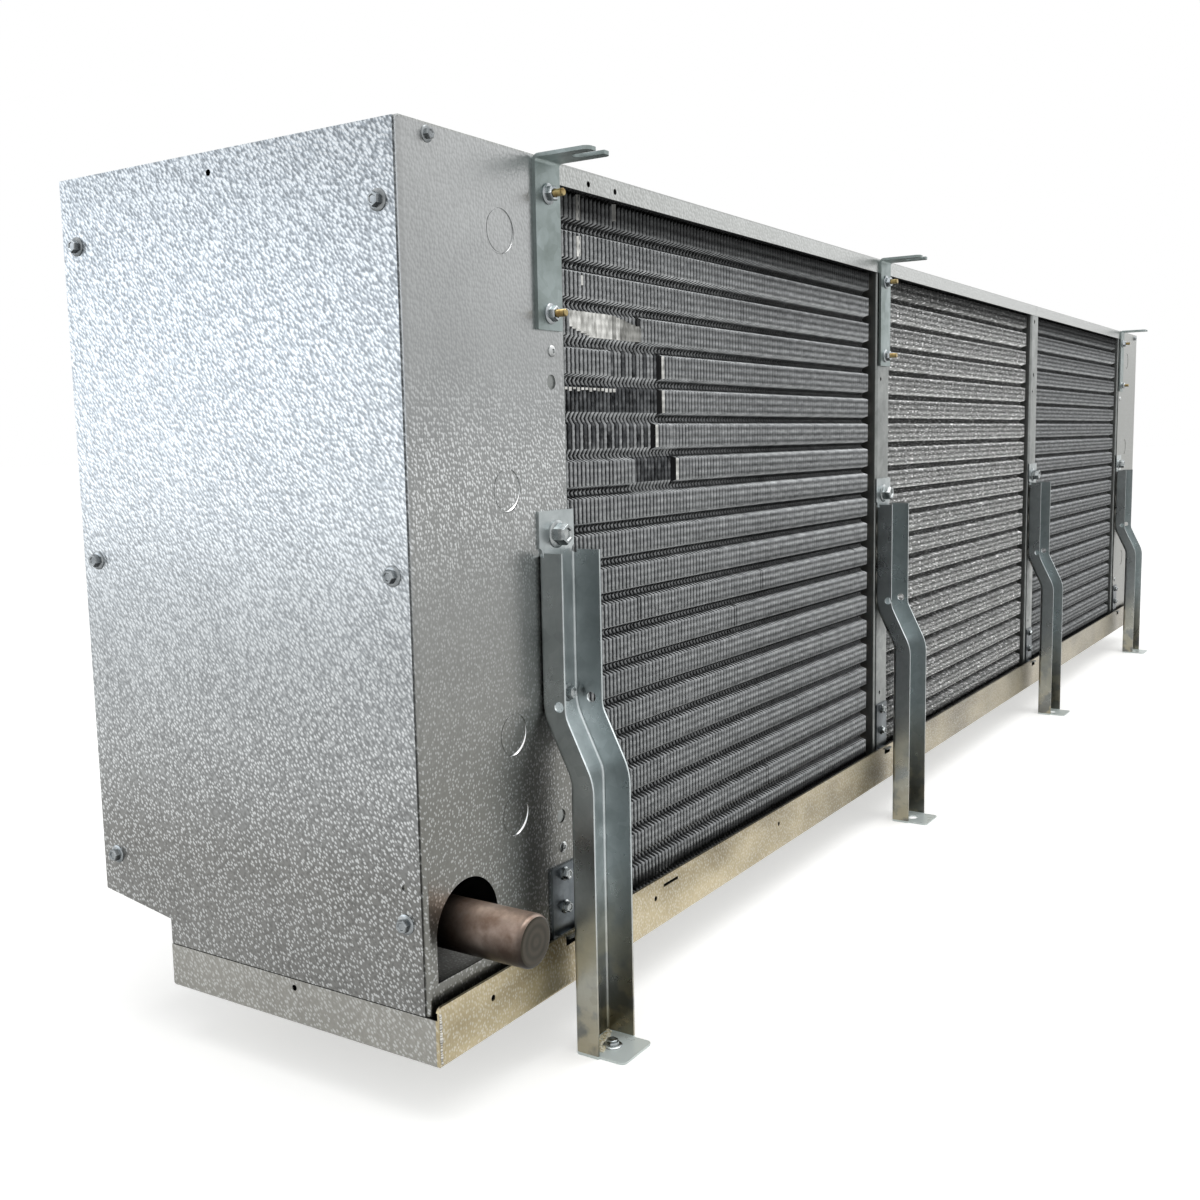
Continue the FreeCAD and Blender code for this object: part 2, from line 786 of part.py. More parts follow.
def fan_guard(bay):
    """Round wire guard of flat rings on straight spokes."""
    x, z = fan_centre(bay)
    outer = fan_orifice / 2 + guard_margin
    front = fan_face + guard_stand
    pieces = []
    step = (outer - guard_hub_radius) / (guard_ring_count - 1)
    for ring in range(guard_ring_count):
        radius = guard_hub_radius + ring * step
        pieces.append(wire_ring(x, z, radius, front))
    for spoke in range(guard_spokes):
        turn = 360.0 * spoke / guard_spokes
        bar = block((x + guard_hub_radius - guard_wire, x + outer), (front - guard_wire, front),
                    (z - guard_wire / 2, z + guard_wire / 2))
        post = block((x + outer - guard_wire, x + outer), (fan_face, front),
                     (z - guard_wire / 2, z + guard_wire / 2))
        arm = bar.fuse(post)
        arm.rotate(Vector(x, 0, z), Y_AXIS, turn)
        pieces.append(arm)
    return fused(pieces)


def wire_ring(x, z, radius, front):
    """One flat ring of the guard."""
    centre = Vector(x, front - guard_wire, z)
    rim = Part.makeCylinder(radius, guard_wire, centre, Y_AXIS)
    return rim.cut(Part.makeCylinder(radius - guard_wire, guard_wire, centre, Y_AXIS))


def blade_section(radius, chord, pitch, centre):
    """Thin arched section across a blade at one radius, turned to its pitch."""
    rise = blade_camber * chord
    angle = math.radians(pitch)
    across = Vector(0, math.sin(angle), math.cos(angle))
    normal = Vector(0, math.cos(angle), -math.sin(angle))
    middle = centre + Vector(radius, 0, 0)

    def at(along, up):
        return middle + across * along + normal * up

    lower = Part.Arc(at(-chord / 2, 0), at(0, rise), at(chord / 2, 0)).toShape()
    upper = Part.Arc(at(chord / 2, blade_thickness), at(0, rise + blade_thickness),
                     at(-chord / 2, blade_thickness)).toShape()
    trail = Part.LineSegment(at(chord / 2, 0), at(chord / 2, blade_thickness)).toShape()
    lead = Part.LineSegment(at(-chord / 2, blade_thickness), at(-chord / 2, 0)).toShape()
    return Part.Wire([lower, trail, upper, lead])


def fan_blade(bay):
    """Hub with pitched blades, each wider and flatter towards its tip."""
    x, z = fan_centre(bay)
    centre = Vector(x, fan_face - blade_setback, z)
    hub_start = Vector(x, centre.y - hub_length / 2, z)
    pieces = [rod(hub_diameter, hub_start, Y_AXIS, hub_length)]
    root = hub_diameter / 2 - 2 * blade_thickness
    tip = fan_orifice / 2 - blade_tip_gap
    sections = []
    for share in (0.0, 0.5, 1.0):
        radius = root + share * (tip - root)
        chord = blade_root_chord + share * (blade_tip_chord - blade_root_chord)
        pitch = blade_root_pitch + share * (blade_tip_pitch - blade_root_pitch)
        sections.append(blade_section(radius, chord, pitch, centre))
    blade = Part.makeLoft(sections, True, False)
    for number in range(blade_count):
        copy = blade.copy()
        copy.rotate(centre, Y_AXIS, 360.0 * number / blade_count)
        pieces.append(copy)
    return fused(pieces).common(swept_disc(centre, tip))


def swept_disc(centre, radius):
    """The round space inside which the blades turn."""
    start = Vector(centre.x, centre.y - fan_orifice / 2, centre.z)
    return rod(2 * radius, start, Y_AXIS, fan_orifice)


def fan_motor(bay):
    """Motor on a strap that bridges the opening behind the fan panel."""
    x, z = fan_centre(bay)
    reach = fan_orifice / 2 + motor_strap_margin
    strap_y = fan_face - motor_strap_offset
    path = [
        (x + reach + motor_strap_foot, fan_inner_face),
        (x + reach, fan_inner_face),
        (x + reach, strap_y),
        (x - reach, strap_y),
        (x - reach, fan_inner_face),
        (x - reach - motor_strap_foot, fan_inner_face),
    ]
    half = motor_strap_width / 2
    strap = folded_sheet(path, motor_strap_thickness, sheet_bend, "Z", z - half, z + half)
    blade_back = blade_root_chord / 2 * math.sin(math.radians(blade_root_pitch))
    body_front = fan_face - blade_setback - blade_back - motor_blade_gap
    body_back = strap_y - motor_strap_thickness
    body = rod(motor_diameter, Vector(x, body_back, z), Y_AXIS, body_front - body_back)
    hub_back = fan_face - blade_setback - hub_length / 2
    shaft_start = body_front - motor_strap_thickness
    shaft = rod(hub_diameter / 4, Vector(x, shaft_start, z), Y_AXIS, hub_back - shaft_start)
    return fused([strap, body, shaft])


# Writing the pieces

def all_pieces():
    """Each piece under the name it is known by."""
    pieces = {}
    left_cover = end_cover(True)
    pieces["left_end_cover"] = left_cover
    pieces["right_end_cover"] = mirror_x(end_cover(False))
    pieces["left_back_panel"] = left_back_panel()
    pieces["right_back_panel"] = mirror_x(back_panel())
    pieces["left_front_panel"] = front_panel()
    pieces["right_front_panel"] = mirror_x(front_panel())
    pieces["top_cover"] = top_cover()
    pieces["bottom_panel"] = bottom_panel()
    for i in range(support_count):
        post = tube_sheet(i)
        if i not in hanger_posts:
            post = spare_hanger_holes(post, support_x[i] - hanger_shift)
        pieces["tube_sheet_%d" % (i + 1)] = post
    for bay in range(bay_count):
        pieces["fin_pack_%d" % (bay + 1)] = fin_pack(bay)
        pieces["fan_panel_%d" % (bay + 1)] = fan_panel(bay)
        pieces["fan_guard_%d" % (bay + 1)] = fan_guard(bay)
        pieces["fan_blade_%d" % (bay + 1)] = fan_blade(bay)
        pieces["fan_motor_%d" % (bay + 1)] = fan_motor(bay)
    pieces["suction_header"] = suction_header()
    pieces["drain_pan"] = drain_pan()
    pieces["drain_spout"] = drain_spout()
    pieces["pan_brackets"] = Part.makeCompound([pan_bracket(i) for i in range(support_count)])
    for i in hanger_posts:
        pieces["hanger_%d" % (i + 1)] = hanger(i)
        pieces["front_hanger_%d" % (i + 1)] = mirror_y(hanger(i))
    for i in range(support_count):
        pieces["leg_%d" % (i + 1)] = leg(support_x[i], seat_y(i))
        pieces["front_leg_%d" % (i + 1)] = mirror_y(leg(support_x[i], coil_face))
    return pieces


def main():
    os.makedirs("parts", exist_ok=True)
    for name, shape in all_pieces().items():
        shape.exportStep(os.path.join("parts", name + ".step"))
        print(name, "valid", shape.isValid(), "solids", len(shape.Solids), "volume", round(shape.Volume))


main()
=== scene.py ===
"""Looks of a three-fan cold-room unit cooler that stands on its channel legs.

Bare stucco-embossed and galvanised sheet, aluminium fins and a capped copper stub.
"""

import random
from collections import namedtuple
from math import cos, pi, radians, sin

import bmesh
import bpy
import numpy as np
from mathutils import Matrix, Vector


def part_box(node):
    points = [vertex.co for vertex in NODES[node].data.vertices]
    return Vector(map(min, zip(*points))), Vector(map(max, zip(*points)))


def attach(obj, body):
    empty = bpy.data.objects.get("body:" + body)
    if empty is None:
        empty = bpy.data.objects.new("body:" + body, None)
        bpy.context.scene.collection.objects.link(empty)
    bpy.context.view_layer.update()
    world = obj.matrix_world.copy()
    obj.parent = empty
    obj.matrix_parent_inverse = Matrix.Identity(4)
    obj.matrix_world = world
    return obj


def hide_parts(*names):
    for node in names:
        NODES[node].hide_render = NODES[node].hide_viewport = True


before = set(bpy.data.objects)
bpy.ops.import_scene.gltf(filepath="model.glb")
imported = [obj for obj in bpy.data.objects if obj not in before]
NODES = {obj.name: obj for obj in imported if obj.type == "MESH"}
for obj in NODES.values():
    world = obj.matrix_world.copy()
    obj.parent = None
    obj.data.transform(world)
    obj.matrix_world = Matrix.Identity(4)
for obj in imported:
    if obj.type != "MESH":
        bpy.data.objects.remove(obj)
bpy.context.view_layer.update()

bl_info = {
    "name": "Unit cooler finishes",
    "version": (1, 0, 0),
    "blender": (4, 5, 0),
    "location": "View3D > Sidebar > Cooler",
    "description": "Dresses a packed unit cooler with its fins, fasteners, materials and studio",
    "category": "Object",
}

MM = 0.001
POST_NUMBERS = (1, 2, 3, 4)
BAY_NUMBERS = (1, 2, 3)
HANGER_NUMBERS = (1, 2, 4)


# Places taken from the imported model

def numbered(stem, numbers=POST_NUMBERS):
    """The names of a row of like nodes."""
    return ["%s_%d" % (stem, number) for number in numbers]


def middle_x(name):
    """The middle of a node's box along X."""
    return sum(corner.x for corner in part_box(name)) / 2


LEFT_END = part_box("left_end_cover")[0].x
RIGHT_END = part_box("right_end_cover")[1].x
COIL_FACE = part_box("left_back_panel")[0].y
FAN_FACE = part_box("fan_panel_1")[1].y
CABINET_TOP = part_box("top_cover")[1].z
PAN_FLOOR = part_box("drain_pan")[0].z
POSTS = [middle_x(name) for name in numbered("tube_sheet")]
POST_WEBS = [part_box(name)[0].x for name in numbered("tube_sheet")]
HANGERS = [middle_x(name) for name in numbered("hanger", HANGER_NUMBERS)]
STUB_RADIUS = 20.65 * MM
STUB_PLACE = (-1265.5 * MM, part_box("suction_header")[0].y, PAN_FLOOR + 93.5 * MM)
POST_SHEET = 2.0 * MM
SHEET = 1.2 * MM

ROWS = 20
ROW_PITCH = 31.75 * MM
COIL_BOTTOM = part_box("fin_pack_1")[0].z
COIL_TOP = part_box("fin_pack_1")[1].z
FIN_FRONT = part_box("fin_pack_1")[0].y
FIN_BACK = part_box("fin_pack_1")[1].y
NOTCH_DEPTH = 9.0 * MM
NOTCH_HALF = 5.5 * MM
ROW_FLAT = ROW_PITCH - 2 * NOTCH_HALF
FIN_START_GAP = 2.0 * MM
FIN_END_GAP = 20.0 * MM
FIRST_BAND = 0.18
BAND_SHARE = 0.225
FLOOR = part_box("leg_1")[0].z
STUB_LIGHT_RANGE = 23.0


# Colours and the shader helper

HEX_SHIFTS = (16, 8, 0)
BYTE_TOP = 255
SRGB_STRAIGHT_END = 0.04045
SRGB_STRAIGHT_SLOPE = 12.92
SRGB_OFFSET = 0.055
SRGB_EXPONENT = 2.4

COLOUR_MIX = {"out": "Result", "data_type": "RGBA"}
TIMES = {"operation": "MULTIPLY"}
SMOOTH = {"interpolation_type": "SMOOTHSTEP"}


def linear(hex_colour):
    """An sRGB hex colour as linear RGBA."""
    channels = []
    for shift in HEX_SHIFTS:
        value = (hex_colour >> shift & BYTE_TOP) / BYTE_TOP
        if value <= SRGB_STRAIGHT_END:
            channels.append(value / SRGB_STRAIGHT_SLOPE)
        else:
            channels.append(((value + SRGB_OFFSET) / (1.0 + SRGB_OFFSET)) ** SRGB_EXPONENT)
    return (*channels, 1.0)


def add(tree, kind, inputs=(), out=0, **settings):
    """Adds one node with its settings, links or sets its inputs, and gives one of its outputs."""
    node = tree.nodes.new(kind)
    for key, value in settings.items():
        setattr(node, key, value)
    for socket, value in dict(inputs).items():
        if isinstance(value, bpy.types.NodeSocket):
            tree.links.new(value, node.inputs[socket])
        else:
            node.inputs[socket].default_value = value
    return node.outputs[out] if node.outputs else None


def new_material(name):
    """An empty material, its tree, and the object's own coordinates in metres."""
    material = bpy.data.materials.new(name)
    material.use_nodes = True
    tree = material.node_tree
    tree.nodes.clear()
    return material, tree, add(tree, "ShaderNodeTexCoord", out="Object")


def per_mm(size_mm):
    """The texture scale at which one cell or wave is this many millimetres."""
    return 1.0 / (size_mm * MM)


def span(value, start, end, low=0.0, high=1.0):
    """What a Map Range node needs to carry a value from one range to another."""
    return {"Value": value, "From Min": start, "From Max": end, "To Min": low, "To Max": high}


# Materials

def stucco_sheet(name, tones, shaded_below, bright_above, relief, painted_glints, band, warm_wall=None,
                 painted_shade=0.0):
    """Galvanised steel sheet, roll-embossed with a stucco grain of close-set pebbles. Its colour
    holds painted light and shade. Near the top of a cover the pebbles' far flanks carry painted
    shade and their near ones painted glints, and lower down only their crowns carry painted
    highlights. These are strongest in a band, given as its middle and half width above the pan's
    floor and what it adds. The tones are those of the foot, the middle and the top, painted light
    and shade by height. The real pebbles are about 2 mm and are drawn at 2.6 mm by 4.2 mm to
    show. With warm_wall, the wall in front of that Y has a cream tint, in long patches, which is
    a painted warm reflection, painted darker further along X. With painted_shade, the sheet has
    that much painted shade towards the coil."""
    material, tree, place = new_material(name)
    # Painted light and shade by height: the three tones blend from the foot to the top.
    rise = add(tree, "ShaderNodeSeparateXYZ", {0: place}, out="Z")
    share = add(tree, "ShaderNodeMapRange",
                span(rise, PAN_FLOOR + shaded_below, PAN_FLOOR + bright_above))
    topmost = add(tree, "ShaderNodeMapRange", span(rise, PAN_FLOOR + bright_above, CABINET_TOP))
    tone = add(tree, "ShaderNodeMix",
               {"Factor": share, "A": linear(tones[0]), "B": linear(tones[1])}, **COLOUR_MIX)
    tone = add(tree, "ShaderNodeMix", {"Factor": topmost, "A": tone, "B": linear(tones[2])},
               **COLOUR_MIX)
    # Painted warm reflection: a cream tint in long patches, painted darker further along X.
    if warm_wall is not None:
        axes = add(tree, "ShaderNodeSeparateXYZ", {0: place}).node.outputs
        long_way = add(tree, "ShaderNodeMapping", {"Vector": place, "Scale": (1.0, 1.0, 2.5)})
        reflection_patches = add(tree, "ShaderNodeTexNoise",
                    {"Vector": long_way, "Scale": per_mm(210.0), "Detail": 4.0})
        patch = add(tree, "ShaderNodeMapRange", span(reflection_patches, 0.38, 0.62))
        cream = add(tree, "ShaderNodeMix",
                    {"Factor": patch, "A": linear(0x82775C), "B": linear(0xC4B798)}, **COLOUR_MIX)
        far = add(tree, "ShaderNodeMapRange",
                  span(axes["X"], POSTS[0] + 250 * MM, POSTS[1] + 200 * MM, 0.0, 0.45))
        cream = add(tree, "ShaderNodeMix", {"Factor": far, "A": cream, "B": linear(0x6E675A)},
                    **COLOUR_MIX)
        on_wall = add(tree, "ShaderNodeMath", {0: axes["Y"], 1: warm_wall}, operation="LESS_THAN")
        tone = add(tree, "ShaderNodeMix", {"Factor": on_wall, "A": tone, "B": cream}, **COLOUR_MIX)
    # Painted shade and glints on the pebbles' flanks: the grain is sampled twice, a little apart.
    slant = add(tree, "ShaderNodeMix", {"Factor": share, "A": (0.6 * MM, -0.6 * MM, -0.52 * MM),
                                        "B": (0.7 * MM, -0.7 * MM, 0.52 * MM)}, out="Result",
                data_type="VECTOR")
    beside = add(tree, "ShaderNodeVectorMath", {0: place, 1: slant})
    grain = {"Scale": per_mm(2.6), "Randomness": 0.85}
    lie = {"Rotation": (pi / 4, 0.0, 0.0), "Scale": (1.0, 1.6, 1.0)}
    here = add(tree, "ShaderNodeMapping", {"Vector": place, **lie}, vector_type="TEXTURE")
    here = add(tree, "ShaderNodeTexVoronoi", {"Vector": here, **grain}, out="Distance")
    there = add(tree, "ShaderNodeMapping", {"Vector": beside, **lie}, vector_type="TEXTURE")
    there = add(tree, "ShaderNodeTexVoronoi", {"Vector": there, **grain}, out="Distance")
    flank = add(tree, "ShaderNodeMath", {0: there, 1: here}, operation="SUBTRACT")
    cloud = add(tree, "ShaderNodeTexNoise",
                {"Vector": place, "Scale": per_mm(95.0), "Detail": 4.0, "Roughness": 0.6})
    darkest = add(tree, "ShaderNodeMapRange",
                  span(topmost, 0.0, 1.0, 1.0 - 0.6 * relief, 1.0 - relief))
    dull = add(tree, "ShaderNodeMapRange", {**span(flank, -0.32, 0.05), "To Min": darkest})
    drift = add(tree, "ShaderNodeMapRange", span(cloud, 0.3, 0.7, 0.93, 1.07))
    shade = add(tree, "ShaderNodeMath", {0: dull, 1: drift}, **TIMES)
    # Painted shade, deeper towards the coil.
    inward = add(tree, "ShaderNodeSeparateXYZ", {0: place}, out="Y")
    coil_shade = add(tree, "ShaderNodeMapRange", span(inward, COIL_FACE, FAN_FACE, 1.0 - painted_shade, 1.0))
    shade = add(tree, "ShaderNodeMath", {0: shade, 1: coil_shade}, **TIMES)
    tone = add(tree, "ShaderNodeVectorMath", {0: tone, "Scale": shade}, operation="SCALE")
    # Painted highlights: crowns lower down, near flanks above, strongest in a band.
    crown = add(tree, "ShaderNodeMapRange", span(here, 0.43, 0.24), **SMOOTH)
    near = add(tree, "ShaderNodeMapRange", span(flank, 0.0, 0.3), **SMOOTH)
    spot = add(tree, "ShaderNodeMix", {"Factor": share, "A": crown, "B": near}, out="Result")
    level = add(tree, "ShaderNodeMapRange", span(share, 0.0, 1.0, painted_glints[0], painted_glints[1]))
    middle, half, boost = band
    off = add(tree, "ShaderNodeMath", {0: rise, 1: PAN_FLOOR + middle}, operation="SUBTRACT")
    off = add(tree, "ShaderNodeMath", {0: off}, operation="ABSOLUTE")
    shine = add(tree, "ShaderNodeMapRange", span(off, 0.0, half, boost, 0.0), **SMOOTH)
    level = add(tree, "ShaderNodeMath", {0: level, 1: shine})
    glint = add(tree, "ShaderNodeMath", {0: spot, 1: level}, **TIMES)
    tone = add(tree, "ShaderNodeMix", {"Factor": glint, "A": tone, "B": linear(0xF2F5F6)},
               **COLOUR_MIX)
    bump = add(tree, "ShaderNodeBump", {"Height": here, "Strength": 0.35, "Distance": 0.4 * MM},
               invert=True)
    sheen = add(tree, "ShaderNodeMapRange", span(cloud, 0.0, 1.0, 0.26, 0.38))
    shader = add(tree, "ShaderNodeBsdfPrincipled",
                 {"Base Color": tone, "Metallic": 1.0, "Roughness": sheen, "Normal": bump})
    add(tree, "ShaderNodeOutputMaterial", {0: shader})
    return material


def galvanised_steel(name, light_hex, dark_hex, roughness=0.36, dusty_foot=False):
    """Smooth hot-dip galvanised steel: a satin blue-grey skin with faint spangle and handling
    marks, with painted light that makes it lighter where a bend faces up. With dusty_foot, it is
    paler towards the floor, the last bit above the floor is browned in patches and the foot's
    plate is dusty, so it looks pale and hardly mirrors."""
    material, tree, place = new_material(name)
    spangle = add(tree, "ShaderNodeTexVoronoi", {"Vector": place, "Scale": per_mm(9.0)},
                  out="Color")
    flake = add(tree, "ShaderNodeRGBToBW", {"Color": spangle})
    cloud = add(tree, "ShaderNodeTexNoise",
                {"Vector": place, "Scale": per_mm(45.0), "Detail": 5.0, "Roughness": 0.65})
    mark = add(tree, "ShaderNodeMath", {0: flake, 1: 0.2, 2: cloud}, operation="MULTIPLY_ADD")
    share = add(tree, "ShaderNodeMapRange", span(mark, 0.35, 0.85))
    tone = add(tree, "ShaderNodeMix",
               {"Factor": share, "A": linear(dark_hex), "B": linear(light_hex)}, **COLOUR_MIX)
    # Painted light: faces turned up are painted up to twice as light.
    skin = add(tree, "ShaderNodeTexCoord", out="Normal")
    upward = add(tree, "ShaderNodeSeparateXYZ", {0: skin}, out="Z")
    lift = add(tree, "ShaderNodeMapRange", span(upward, 0.05, 0.45, 1.0, 2.0))
    tone = add(tree, "ShaderNodeVectorMath", {0: tone, "Scale": lift}, operation="SCALE")
    metallic = 1.0
    if dusty_foot:
        rise = add(tree, "ShaderNodeSeparateXYZ", {0: place}, out="Z")
        splash = add(tree, "ShaderNodeTexNoise",
                     {"Vector": place, "Scale": per_mm(24.0), "Detail": 4.0})
        splash = add(tree, "ShaderNodeMapRange", span(splash, 0.45, 0.56))
        splash = add(tree, "ShaderNodeMix", {"Factor": splash, "A": linear(0x463E2C),
                                             "B": linear(0x8C8060)}, **COLOUR_MIX)
        paler_towards_floor = add(tree, "ShaderNodeMapRange",
                   span(rise, FLOOR + 60 * MM, FLOOR + 330 * MM, 1.2, 1.0))
        tone = add(tree, "ShaderNodeVectorMath", {0: tone, "Scale": paler_towards_floor}, operation="SCALE")
        brown = add(tree, "ShaderNodeMapRange",
                    span(rise, FLOOR + 10 * MM, FLOOR + 150 * MM, 0.75, 0.0))
        tone = add(tree, "ShaderNodeMix", {"Factor": brown, "A": tone, "B": splash}, **COLOUR_MIX)
        plate = add(tree, "ShaderNodeMath", {0: rise, 1: FLOOR + 2.6 * MM}, operation="LESS_THAN")
        tone = add(tree, "ShaderNodeMix", {"Factor": plate, "A": tone, "B": linear(0xD9E2E0)},
                   **COLOUR_MIX)
        metallic = add(tree, "ShaderNodeMapRange", span(plate, 0.0, 1.0, 1.0, 0.15))
    sheen = add(tree, "ShaderNodeMapRange",
                span(share, 0.0, 1.0, roughness + 0.08, roughness - 0.06))
    wave = add(tree, "ShaderNodeBump", {"Height": cloud, "Strength": 0.12, "Distance": 1.5 * MM})
    shader = add(tree, "ShaderNodeBsdfPrincipled",
                 {"Base Color": tone, "Metallic": metallic, "Roughness": sheen, "Normal": wave})
    add(tree, "ShaderNodeOutputMaterial", {0: shader})
    return material


def plated_steel(name, light_hex, dark_hex, roughness):
    """Zinc-plated steel hardware, bright or passivated yellow, with a slightly blotched plating.
    Facets that face up are painted pale and the others painted dark: a painted reflection of the
    light above and the dim floor below."""
    material, tree, place = new_material(name)
    blotch = add(tree, "ShaderNodeTexNoise",
                 {"Vector": place, "Scale": per_mm(6.0), "Detail": 4.0})
    share = add(tree, "ShaderNodeMapRange", span(blotch, 0.3, 0.7))
    tone = add(tree, "ShaderNodeMix",
               {"Factor": share, "A": linear(dark_hex), "B": linear(light_hex)}, **COLOUR_MIX)
    # Painted reflection: downward facets painted dark, upward ones pale.
    skin = add(tree, "ShaderNodeTexCoord", out="Normal")
    upward = add(tree, "ShaderNodeSeparateXYZ", {0: skin}, out="Z")
    painted_shade = add(tree, "ShaderNodeMapRange", span(upward, -0.6, 0.6, 0.28, 1.5))
    tone = add(tree, "ShaderNodeVectorMath", {0: tone, "Scale": painted_shade}, operation="SCALE")
    bump = add(tree, "ShaderNodeBump", {"Height": blotch, "Strength": 0.15, "Distance": 0.3 * MM})
    shader = add(tree, "ShaderNodeBsdfPrincipled",
                 {"Base Color": tone, "Metallic": 1.0, "Roughness": roughness, "Normal": bump})
    add(tree, "ShaderNodeOutputMaterial", {0: shader})
    return material


def fin_aluminium(name, light_hex, dark_hex, roughness, top=1.25, foot=0.62, sparkle=0.06,
                  lie=(0.3, 0.15, 1.0)):
    """Thin rolled aluminium fin stock, dulled by handling. The corrugations of all fins line up,
    so each row shows four light and dark bands between dark notches, all painted light and
    shade. They fade from a row's top to its foot, but not in the upper rows, and show less
    towards the first post. The lower rows are painted darker, the row under the top cover's lip
    is in its painted shade, and white specks are painted sparkle where the bands are light."""
    material, tree, place = new_material(name)
    stretch = add(tree, "ShaderNodeMapping", {"Vector": place, "Scale": lie})
    streak = add(tree, "ShaderNodeTexNoise",
                 {"Vector": stretch, "Scale": per_mm(3.5), "Detail": 3.0})
    share = add(tree, "ShaderNodeMapRange", span(streak, 0.3, 0.7))
    tone = add(tree, "ShaderNodeMix",
               {"Factor": share, "A": linear(dark_hex), "B": linear(light_hex)}, **COLOUR_MIX)
    # Painted light and shade by height within each row and over the coil.
    axes = add(tree, "ShaderNodeSeparateXYZ", {0: place}).node.outputs
    drop = add(tree, "ShaderNodeMath", {0: COIL_BOTTOM + ROWS * ROW_PITCH, 1: axes["Z"]},
               operation="SUBTRACT")
    rows_down = add(tree, "ShaderNodeMath", {0: drop, 1: ROW_PITCH}, operation="DIVIDE")
    down = add(tree, "ShaderNodeMath", {0: rows_down}, operation="FRACT")
    angle = add(tree, "ShaderNodeMath", {0: down, 1: 2 * pi / BAND_SHARE,
                                         2: -2 * pi * FIRST_BAND / BAND_SHARE},
                operation="MULTIPLY_ADD")
    wave = add(tree, "ShaderNodeMath", {0: angle}, operation="COSINE")
    band = add(tree, "ShaderNodeMath", {0: wave, 1: 0.45, 2: 1.0}, operation="MULTIPLY_ADD")
    upper = add(tree, "ShaderNodeMapRange",
                span(axes["Z"], COIL_TOP - 270 * MM, COIL_TOP - 70 * MM))
    mean = (top + foot) / 2
    start = add(tree, "ShaderNodeMapRange", span(upper, 0.0, 1.0, top, 0.6 * mean))
    end = add(tree, "ShaderNodeMapRange", span(upper, 0.0, 1.0, foot, 1.1 * mean))
    fall = add(tree, "ShaderNodeMapRange", span(down, FIRST_BAND, 0.86, start, end))
    from_edge = add(tree, "ShaderNodeMath", {0: down, 1: 0.5}, operation="PINGPONG")
    notch = add(tree, "ShaderNodeMapRange", span(from_edge, 0.02, 0.13, 0.25, 1.0), **SMOOTH)
    profile = add(tree, "ShaderNodeMath", {0: band, 1: fall}, **TIMES)
    profile = add(tree, "ShaderNodeMath", {0: profile, 1: notch}, **TIMES)
    across = add(tree, "ShaderNodeMapRange",
                 span(axes["X"], POSTS[0] + 60 * MM, POSTS[0] + 420 * MM, 0.2, 1.0))
    profile = add(tree, "ShaderNodeMix", {"Factor": across, "A": 1.25, "B": profile}, out="Result")
    shade = add(tree, "ShaderNodeMapRange",
                span(axes["Z"], COIL_TOP - 40 * MM, COIL_TOP - 18 * MM, 1.0, 0.17))
    profile = add(tree, "ShaderNodeMath", {0: profile, 1: shade}, **TIMES)
    low_down = add(tree, "ShaderNodeMapRange",
                   span(axes["Z"], COIL_BOTTOM, COIL_TOP - 100 * MM, 0.77, 1.0))
    profile = add(tree, "ShaderNodeMath", {0: profile, 1: low_down}, **TIMES)
    tone = add(tree, "ShaderNodeVectorMath", {0: tone, "Scale": profile}, operation="SCALE")
    # Painted sparkle: white specks where the bands are light.
    painted_speck = add(tree, "ShaderNodeTexNoise",
                {"Vector": stretch, "Scale": per_mm(1.6), "Detail": 1.0})
    painted_speck = add(tree, "ShaderNodeMapRange", span(painted_speck, 0.56, 0.7))
    painted_speck = add(tree, "ShaderNodeMath", {0: painted_speck, 1: profile}, **TIMES)
    painted_speck = add(tree, "ShaderNodeMath", {0: painted_speck, 1: sparkle}, **TIMES)
    tone = add(tree, "ShaderNodeMix", {"Factor": painted_speck, "A": tone, "B": linear(0xFFFFFF)},
               **COLOUR_MIX)
    shader = add(tree, "ShaderNodeBsdfPrincipled",
                 {"Base Color": tone, "Metallic": 1.0, "Roughness": roughness})
    add(tree, "ShaderNodeOutputMaterial", {0: shader})
    return material


def shaded_depths(name):
    """Painted shade for the dark between the fins, where hardly any light comes back from, faintly
    mottled.
    """
    material, tree, place = new_material(name)
    dust = add(tree, "ShaderNodeTexNoise", {"Vector": place, "Scale": per_mm(12.0), "Detail": 3.0})
    tone = add(tree, "ShaderNodeMix",
               {"Factor": dust, "A": linear(0x141516), "B": linear(0x2C2D2E)}, **COLOUR_MIX)
    shader = add(tree, "ShaderNodeBsdfPrincipled", {"Base Color": tone, "Roughness": 0.85})
    add(tree, "ShaderNodeOutputMaterial", {0: shader})
    return material


